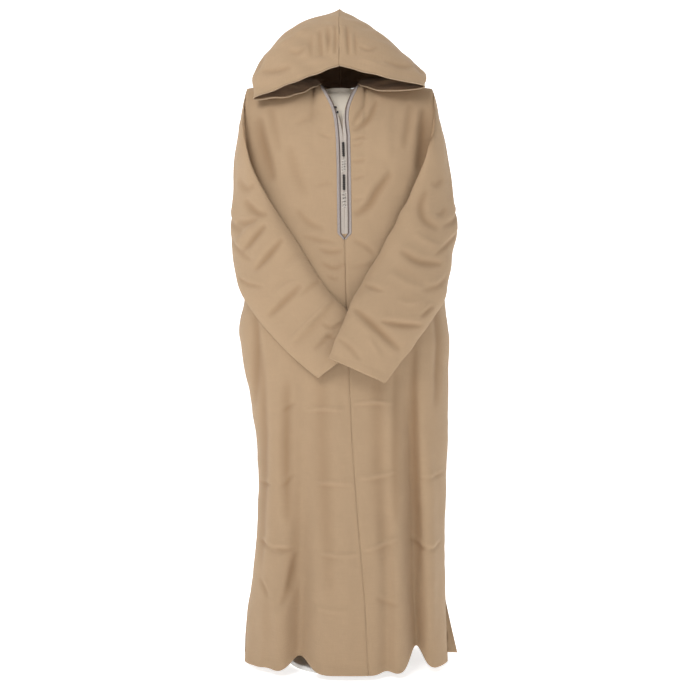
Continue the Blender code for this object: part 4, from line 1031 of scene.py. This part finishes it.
# points and normals along a line on a panel: for each height, those at that distance from the panel's first
# column, read between grid points
def onPanel(points, outward, heights, distances):
    normals = gridNormals(points, outward)
    u, _ = clothMeasure(points)
    rowAt = np.interp(heights, points[:, 0, 2], np.arange(len(points)))
    low = np.clip(rowAt.astype(int), 0, len(points) - 2)
    part = (rowAt - low)[:, None]
    found, normal = [], []
    for axis in range(3):
        for source, target in ((points, found), (normals, normal)):
            ends = [np.array([np.interp(d, u[r], source[r, :, axis]) for r, d in zip(low + step, distances)])
                    for step in (0, 1)]
            target.append(ends[0] * (1 - part[:, 0]) + ends[1] * part[:, 0])
    return np.stack(found, axis=1), unit(np.stack(normal, axis=1))


# a flat woven braid along a front edge: its cross-section is a low arch with a ridge along each side and a
# groove in the middle; the two braids come together in a point at the foot of the opening
def braidRibbon(name, points, side):
    outward = np.array([0.0, -1.0, 0.0])
    rows = 420
    heights = np.linspace(trim["bottom"], points[-1, 0, 2] - 0.0008, rows)
    opening = smoothStep(heights, cloth["placketTop"] - 0.004, cloth["placketTop"] + trim["closing"])
    foot = smoothStep(heights, trim["bottom"], trim["bottom"] + 0.016)
    start = trim["braidInner"] + (trim["braidEdge"] - trim["braidInner"]) * opening
    start = start * foot + 0.0004 * (1 - foot)
    columns = 25
    across = np.linspace(0, 1, columns)
    grid = []
    width = trim["braidWidth"] * (0.55 + 0.45 * foot)
    for share in across:
        line, normal = onPanel(points, outward, heights, start + share * width)
        arch = 1 - (2 * share - 1) ** 6
        ridge = 0.30 * np.exp(-((share - 0.14) / 0.09) ** 2) + 0.30 * np.exp(-((share - 0.86) / 0.09) ** 2)
        groove = -0.40 * np.exp(-((share - 0.5) / 0.07) ** 2)
        height = trim["layerGap"] + trim["braidThick"] * (0.35 + 0.5 * arch + ridge + groove)
        grid.append(line + normal * height)
    grid = np.stack(grid, axis=1)
    along = np.concatenate([[0], np.cumsum(np.linalg.norm(np.diff(grid[:, 12], axis=0), axis=1))])
    u = np.broadcast_to(across[None] * trim["braidWidth"], grid.shape[:2])
    v = np.broadcast_to(along[:, None], grid.shape[:2])
    plait = 0.00022 * np.sin(2 * pi * (v / trim["plaitPitch"] + np.abs(2 * across - 1)[None] * 0.9))
    grid = grid + gridNormals(grid, outward) * plait[..., None]
    piece = gridMesh(name, grid, (u, v), flip=side > 0)
    thicken(piece, 0.0007)
    return piece


# a thin woven band between the seam and the braid, which the knots and loops lie on
def innerBand(name, points, side):
    outward = np.array([0.0, -1.0, 0.0])
    rows, columns = 260, 9
    heights = np.linspace(trim["bottom"] + 0.013, cloth["placketTop"] + 0.060, rows)
    opening = smoothStep(heights, cloth["placketTop"] - 0.004, cloth["placketTop"] + trim["closing"])
    width = trim["braidInner"] + (trim["braidEdge"] - trim["braidInner"]) * opening
    across = np.linspace(0, 1, columns)
    lines = [onPanel(points, outward, heights, 0.0004 + share * width) for share in across]
    grid = np.stack([line + normal * trim["bandLift"] for line, normal in lines], axis=1)
    u = np.broadcast_to(across[None] * trim["braidWidth"], grid.shape[:2])
    v = np.broadcast_to(heights[:, None], grid.shape[:2])
    piece = gridMesh(name, grid, (u, v), flip=side > 0)
    thicken(piece, 0.0004)
    return piece


# braid: threads plaited in a herringbone, pale with a dark line along its inner edge and a fine one outside
def makeBraidMaterial():
    material, tree, shader = newMaterial("plaited_braid")
    u, v = splitPlace(tree, clothPlace(tree))
    share = maths(tree, "DIVIDE", u, trim["braidWidth"])
    fromMiddle = maths(tree, "ABSOLUTE", maths(tree, "SUBTRACT", share, 0.5))
    slant = maths(tree, "ADD", maths(tree, "DIVIDE", v, trim["plaitPitch"] / 2),
                  maths(tree, "MULTIPLY", fromMiddle, 3.6))
    plait = maths(tree, "SINE", maths(tree, "MULTIPLY", slant, 2 * pi))
    # painted shade in the plait's grooves and painted light on its ridges, following the plait's bump
    plaitShade = spread(tree, plait, -1.0, 1.0, 0.80, 1.12)
    darkLine = spread(tree, share, 0.260, 0.330, 1.0, 0.0)
    edgeLine = spread(tree, share, 0.930, 0.980, 0.0, 0.45)
    dark = maths(tree, "MAXIMUM", darkLine, edgeLine)
    place = ownPlace(tree)
    uneven = spread(tree, noise(tree, place, 320.0, 2.0), 0.3, 0.7, 0.90, 1.08)
    tone = mixColours(tree, dark, plainColour(tree, trim["braidColour"]), trim["braidDark"])
    colour = shadeColour(tree, tone, maths(tree, "MULTIPLY", plaitShade, uneven))
    link(tree, colour, shader.inputs["Base Color"])
    link(tree, spread(tree, plait, -1.0, 1.0, 0.62, 0.48), shader.inputs["Roughness"])
    link(tree, bump(tree, plait, 0.5, 0.0003), shader.inputs["Normal"])
    shader.inputs["Sheen Weight"].default_value = 0.15
    return material


# twisted cord or knot thread: strands slant round it, read from its own place
def makeCordMaterial(name, colour, twist, roughness, strandShade):
    material, tree, shader = newMaterial(name)
    place = ownPlace(tree)
    strands = tree.nodes.new("ShaderNodeTexWave")
    strands.wave_type = "BANDS"
    strands.bands_direction = "DIAGONAL"
    strands.inputs["Scale"].default_value = twist
    strands.inputs["Distortion"].default_value = 1.2
    strands.inputs["Detail"].default_value = 1.0
    link(tree, place, strands.inputs["Vector"])
    fine = noise(tree, place, 700.0, 2.0)
    # painted shade between the strands and painted light on them, following the strands' bump
    tone = spread(tree, strands.outputs["Fac"], 0.0, 1.0, 1 - strandShade, 1 + strandShade * 0.5)
    mottled = maths(tree, "MULTIPLY", tone, spread(tree, fine, 0.3, 0.7, 0.92, 1.08))
    link(tree, shadeColour(tree, plainColour(tree, colour), mottled), shader.inputs["Base Color"])
    link(tree, spread(tree, fine, 0.3, 0.7, roughness - 0.08, roughness + 0.08), shader.inputs["Roughness"])
    link(tree, bump(tree, strands.outputs["Fac"], 0.5, 0.0002), shader.inputs["Normal"])
    shader.inputs["Sheen Weight"].default_value = 0.2
    return material


braidFinish = makeBraidMaterial()
paleFinish = makeCordMaterial("pale_cord", trim["paleCord"], 230.0, 0.62, 0.25)
knotFinish = makeCordMaterial("black_cord", trim["knotColour"], 300.0, 0.50, 0.35)
bandFinish = makeCordMaterial("pale_band", trim["bandColour"], 260.0, 0.72, 0.12)

braidLeft = braidRibbon("braid_left_edge", frontLeftPoints, -1)
finishPiece(braidLeft, braidFinish, "braid", "braid_left")
braidRight = braidRibbon("braid_right_edge", frontRightPoints, 1)
finishPiece(braidRight, braidFinish, "braid", "braid_right")


# the height of cloth between the braids, from the two front halves' own points
def plackPoint(z):
    places = []
    for points in (frontLeftPoints, frontRightPoints):
        places.append([np.interp(z, points[:, 0, 2], points[:, 0, axis]) for axis in range(3)])
    return np.mean(places, axis=0)


# round balls of one coiled tube each, whose centre runs from pole to pole on a sphere, turning as it goes
def knotBalls(name, centres, radius, turns=4.5, cord=0.28):
    steps = 46
    t = np.linspace(0.03, 0.97, steps)
    polar, spin = pi * t, 2 * pi * turns * t
    unitPath = np.stack([np.sin(polar) * np.cos(spin), np.cos(polar), np.sin(polar) * np.sin(spin)], axis=1)
    paths = np.asarray(centres)[:, None] + unitPath[None] * radius * (1 - cord * 0.6)
    radii = radius * cord * np.sin(pi * np.clip(t, 0.08, 0.92)) ** 0.3
    return tubeMeshes(name, paths, radii[None], sides=6, up=(0.31, 0.17, 0.93))


# a bar of small round knots, one above the other over the seam
def makeBar(name, low, high, count, radius, material, slot, node):
    heights = np.linspace(low + radius, high - radius, count)
    centres = np.array([plackPoint(z) - np.array([0, radius + 0.0012, 0]) for z in heights])
    balls = knotBalls(name, centres, radius * 1.12)
    return finishPiece(balls, material, slot, node)


# short cords across the opening, one at each height, bowed out from the cloth
def makeLoops(name, heights, reach, material, slot, *replaced):
    steps = 15
    t = np.linspace(-1, 1, steps)
    paths = []
    for z in heights:
        centre = plackPoint(z)
        paths.append(np.stack([centre[0] + reach * t, centre[1] - 0.0013 - 0.0016 * (1 - t**2),
                               z + 0.0010 * np.sin(pi * t)], axis=1))
    loops = tubeMeshes(name, np.array(paths), 0.00075, sides=6, up=(0, 0.1, 1))
    return finishPiece(loops, material, slot, *replaced)


for number, (low, high) in enumerate(trim["darkBars"], 1):
    makeBar("knots_dark_%d" % number, low, high, 7, 0.0025, knotFinish, "black_cord",
                        "buttons_dark_%d" % number)
for number, (low, high) in enumerate(trim["paleBars"], 1):
    makeBar("knots_pale_%d" % number, low, high, 5, 0.0021, paleFinish, "pale_cord",
                        "buttons_pale_%d" % number)
loopHeights = np.concatenate([np.linspace(low, high, 5) for low, high in trim["paleBars"]])
stitchHeights = np.concatenate([np.linspace(low + 0.003, high - 0.003, 4) for low, high in trim["paleBars"]])
loops = makeLoops("cord_loops", loopHeights, 0.0062, paleFinish, "pale_cord")
stitches = makeLoops("dark_stitches", stitchHeights, 0.0030, knotFinish, "black_cord")
bands = [finishPiece(innerBand("band_left", frontLeftPoints, -1), bandFinish, "pale_cord"),
         finishPiece(innerBand("band_right", frontRightPoints, 1), bandFinish, "pale_cord")]


# the small black knots on the left edge of the neck
def makeNeckKnots():
    knots = []
    for number, z in enumerate(trim["neckKnots"], 1):
        edge = [np.interp(z, frontLeftPoints[:, 0, 2], frontLeftPoints[:, 0, axis]) for axis in range(3)]
        centre = edge + np.array([0.0006, -0.0046, 0])
        ball = knotBalls("neck_knot_%d" % number, [centre], 0.0027)
        knots.append(finishPiece(ball, knotFinish, "black_cord", "knot_%d" % number))
    return knots


neckKnots = makeNeckKnots()


mouth = {"radius": 0.0014, "gap": 0.0006, "twist": 0.0065, "strands": 2}


# two strands twisted round each other beside the mouth's edge, half a turn apart
def makeHoodCord(name, points, side, node):
    away = unit(points[0] - points[2])
    line = points[0] + away * (mouth["radius"] + mouth["gap"])
    line = line[3:]
    line[-1, 0] = side * 0.0008
    knots = [(float(i), p) for i, p in enumerate(line)]
    fine = curveAt(np.linspace(0, len(line) - 1, 900), knots)
    length = np.concatenate([[0], np.cumsum(np.linalg.norm(np.diff(fine, axis=0), axis=1))])
    along = unit(np.gradient(fine, axis=0))
    across = unit(np.cross(along, np.array([0.0, 0.35, 0.94])))
    third = np.cross(along, across)
    paths = []
    for strand in range(mouth["strands"]):
        turn = 2 * pi * (length / mouth["twist"] + strand / mouth["strands"])
        circle = np.cos(turn)[:, None] * across + np.sin(turn)[:, None] * third
        paths.append(fine + circle * mouth["radius"] * 0.5)
    piece = tubeMeshes(name, np.array(paths), mouth["radius"] * 0.58, sides=8)
    return finishPiece(piece, hoodCordFinish, "cloth", node)


hoodCordFinish = makeCordMaterial("hood_cord", (0.46, 0.33, 0.21), 260.0, 0.75, 0.2)
hoodCordLeft = makeHoodCord("mouth_cord_left", hoodLeftPoints, -1, "hood_cord_left")
hoodCordRight = makeHoodCord("mouth_cord_right", hoodRightPoints, 1, "hood_cord_right")
print("djellaba: braid, knots and cords made")


form = {
    # (height, half width, half depth) of the torso up to its short neck
    "outline": [(0.700, 0.150, 0.092), (0.708, 0.162, 0.104), (0.780, 0.172, 0.112), (0.900, 0.160, 0.104),
                (0.980, 0.146, 0.094), (1.100, 0.166, 0.100), (1.200, 0.184, 0.100), (1.270, 0.192, 0.092),
                (1.310, 0.190, 0.078), (1.332, 0.172, 0.066), (1.346, 0.128, 0.058), (1.354, 0.070, 0.052),
                (1.360, 0.049, 0.046), (1.370, 0.045, 0.043)],
    "squareness": 0.9, "rings": 150, "sides": 128,
    "colour": (0.850, 0.770, 0.650),
    "wale": 0.0011, "course": 0.0008,
    "seamDip": 0.0012, "seamWidth": 0.0030,
    "baseRadius": 0.124, "baseHeight": 0.012, "poleRadius": 0.0125,
}


# the torso: rings whose width and depth follow the outline, closed at bottom and neck by rings that shrink
# to a point, with princess seams pressed in as narrow dips
def makeForm():
    heights = np.array([row[0] for row in form["outline"]])
    place = np.linspace(0, 1, form["rings"])
    outline = [(float(i), np.array(row)) for i, row in enumerate(form["outline"])]
    rows = curveAt(place * (len(heights) - 1), outline)
    rows = rows[rows[:, 0].argsort()]
    angles = 2 * pi * np.arange(form["sides"]) / form["sides"]
    c, s = np.cos(angles), np.sin(angles)
    roundX = np.sign(c) * np.abs(c) ** form["squareness"]
    roundY = np.sign(s) * np.abs(s) ** form["squareness"]
    dip = np.zeros(len(angles))
    for turn in (0.25, 0.75, 0.16, 0.34, 0.66, 0.84):
        off = (np.arange(form["sides"]) / form["sides"] - turn + 0.5) % 1 - 0.5
        dip += form["seamDip"] * np.exp(-((off * 2 * pi * 0.15 / form["seamWidth"]) ** 2))
    shrink = np.concatenate([[0.0, 0.35, 0.7, 0.93], np.ones(len(rows)), [0.96, 0.8, 0.45, 0.0]])
    rows = np.concatenate([np.repeat(rows[:1], 4, axis=0), rows, np.repeat(rows[-1:], 4, axis=0)])
    width = (rows[:, 1:2] - dip[None]) * shrink[:, None]
    depth = (rows[:, 2:3] - dip[None]) * shrink[:, None]
    z = np.repeat(rows[:, :1], form["sides"], axis=1)
    grid = np.stack([width * roundX, depth * roundY, z], axis=2)
    around = np.broadcast_to(angles[None] * 0.15, z.shape)
    piece = gridMesh("form_torso", grid, (around, z), wraps=True)
    return finishPiece(piece, makeJersey(), "form", "form_body")


# knitted cover of the form: fine wales with rows of loops across them
def makeJersey():
    material, tree, shader = newMaterial("cream_jersey")
    u, v = splitPlace(tree, clothPlace(tree))
    wale = maths(tree, "SINE", maths(tree, "MULTIPLY", u, 2 * pi / form["wale"]))
    course = maths(tree, "SINE", maths(tree, "MULTIPLY", v, 2 * pi / form["course"]))
    knit = maths(tree, "ADD", maths(tree, "MULTIPLY", wale, 0.5), maths(tree, "MULTIPLY", course, 0.25))
    place = ownPlace(tree)
    wear = groupNode(tree, wearGroup, Place=place, Colour=(*form["colour"], 1), Clouds=0.08, Speckle=0.05)
    # painted shade between the knit's wales and loops and painted light on them, following the knit's bump
    tone = spread(tree, knit, -0.75, 0.75, 0.94, 1.04)
    link(tree, shadeColour(tree, wear.outputs["Colour"], tone), shader.inputs["Base Color"])
    link(tree, spread(tree, wear.outputs["Worn"], 0.3, 0.7, 0.78, 0.88), shader.inputs["Roughness"])
    link(tree, bump(tree, knit, 0.3, 0.0002), shader.inputs["Normal"])
    shader.inputs["Sheen Weight"].default_value = 0.12
    return material


# a round piece turned about the Z axis from (height, radius) rows, closed by a row of no radius at each end
def makeTurned(name, profile, sides):
    angles = 2 * pi * np.arange(sides) / sides
    rows = np.array(profile, float)
    grid = np.stack([rows[:, 1:] * np.cos(angles), rows[:, 1:] * np.sin(angles),
                     np.repeat(rows[:, :1], sides, axis=1)], axis=2)
    around = np.broadcast_to(angles[None] * max(rows[:, 1]), grid.shape[:2])
    return gridMesh(name, grid, (around, grid[..., 2]), wraps=True)


# powder-coated steel in white: fine orange-peel relief, rubbed a little smoother in patches
def makeEnamel():
    material, tree, shader = newMaterial("white_enamel")
    place = ownPlace(tree)
    wear = groupNode(tree, wearGroup, Place=place, Colour=(0.80, 0.79, 0.77, 1), Clouds=0.06, Speckle=0.04)
    peel = noise(tree, place, 1400.0, 2.0)
    link(tree, wear.outputs["Colour"], shader.inputs["Base Color"])
    link(tree, spread(tree, wear.outputs["Worn"], 0.3, 0.7, 0.38, 0.55), shader.inputs["Roughness"])
    link(tree, bump(tree, peel, 0.25, 0.0003), shader.inputs["Normal"])
    shader.inputs["Coat Weight"].default_value = 0.15
    return material


def roundedEdge(z0, z1, radius, edge, steps=6):
    t = np.linspace(0, pi / 2, steps)
    low = [(z0 + edge - edge * np.cos(a), radius - edge + edge * np.sin(a)) for a in t]
    high = [(z1 - edge + edge * np.sin(a), radius - edge + edge * np.cos(a)) for a in t]
    return [(z0, 0.0)] + low + high + [(z1, 0.0)]


formTorso = makeForm()
enamelFinish = makeEnamel()
base = makeTurned("stand_foot", roundedEdge(0.0, form["baseHeight"], form["baseRadius"], 0.003), 96)
finishPiece(base, enamelFinish, "stand", "form_base")
low = form["baseHeight"] + cloth["seamGap"]
high = form["outline"][0][0] - cloth["seamGap"]
pole = makeTurned("stand_pole", roundedEdge(low, high, form["poleRadius"], 0.0006, 3), 48)
finishPiece(pole, enamelFinish, "stand", "form_pole")
print("djellaba: form and stand made")


studio = {
    "floor": (0.93, 0.93, 0.925),
    "world": 0.18,
    "key": {"place": (-1.2, -2.0, 2.7), "size": 1.6, "power": 44},
    "fill": {"place": (2.6, -2.6, 1.6), "size": 3.0, "power": 14},
    "top": {"place": (0.1, -0.6, 4.2), "size": 3.0, "power": 14},
    "glow": 0.72,
    "camera": (0.025, -2.4, 0.747), "lens": 51.0,
}


# a pale sweep: flat floor that curves up behind, the curve a quarter circle. Its paper glows white though it
# is no lamp: painted light, which lights the robe as well
def makeSweep():
    turn = np.linspace(0, pi / 2, 24)
    radius, behind, front = 1.6, 2.2, -20.0
    y = np.concatenate([[front], behind + radius * np.sin(turn), [behind + radius]])
    z = np.concatenate([[0.0], radius * (1 - np.cos(turn)), [16.0]])
    x = np.linspace(-30, 30, 3)
    grid = np.stack([np.broadcast_to(x[None], (len(y), 3)), np.broadcast_to(y[:, None], (len(y), 3)),
                     np.broadcast_to(z[:, None], (len(y), 3))], axis=2)
    sweep = gridMesh("studio_sweep", grid)
    material, tree, shader = newMaterial("glowing_pale_paper")
    grain = spread(tree, noise(tree, ownPlace(tree), 60.0), 0.3, 0.7, 0.99, 1.01)
    link(tree, shadeColour(tree, plainColour(tree, studio["floor"]), grain), shader.inputs["Base Color"])
    shader.inputs["Roughness"].default_value = 0.95
    # painted light: the paper glows white, and its glow also falls on the robe
    shader.inputs["Emission Color"].default_value = (1, 1, 1, 1)
    shader.inputs["Emission Strength"].default_value = studio["glow"]
    sweep.data.materials.append(material)
    return sweep


def makeLight(name, look, target=(0.0, 0.0, 0.9)):
    lamp = bpy.data.lights.new(name, "AREA")
    lamp.shape = "DISK"
    lamp.size = look["size"]
    lamp.energy = look["power"]
    piece = bpy.data.objects.new(name, lamp)
    bpy.context.scene.collection.objects.link(piece)
    piece.location = look["place"]
    aim = np.array(target) - np.array(look["place"])
    piece.rotation_euler = (np.arctan2(np.hypot(aim[0], aim[1]), -aim[2]), 0, np.arctan2(-aim[0], aim[1]))
    return piece


makeSweep()
for lampName in ("key", "fill", "top"):
    makeLight(lampName + "_light", studio[lampName])

world = bpy.data.worlds.new("studio")
world.use_nodes = True
world.node_tree.nodes["Background"].inputs["Color"].default_value = (1, 1, 1, 1)
world.node_tree.nodes["Background"].inputs["Strength"].default_value = studio["world"]
bpy.context.scene.world = world
bpy.context.scene.view_settings.view_transform = "Standard"

camera = bpy.data.objects.new("camera", bpy.data.cameras.new("camera"))
bpy.context.scene.collection.objects.link(camera)
camera.location = studio["camera"]
camera.rotation_euler = (pi / 2, 0, 0)
camera.data.sensor_width = 36
camera.data.lens = studio["lens"]
bpy.context.scene.camera = camera
print("djellaba: studio made")
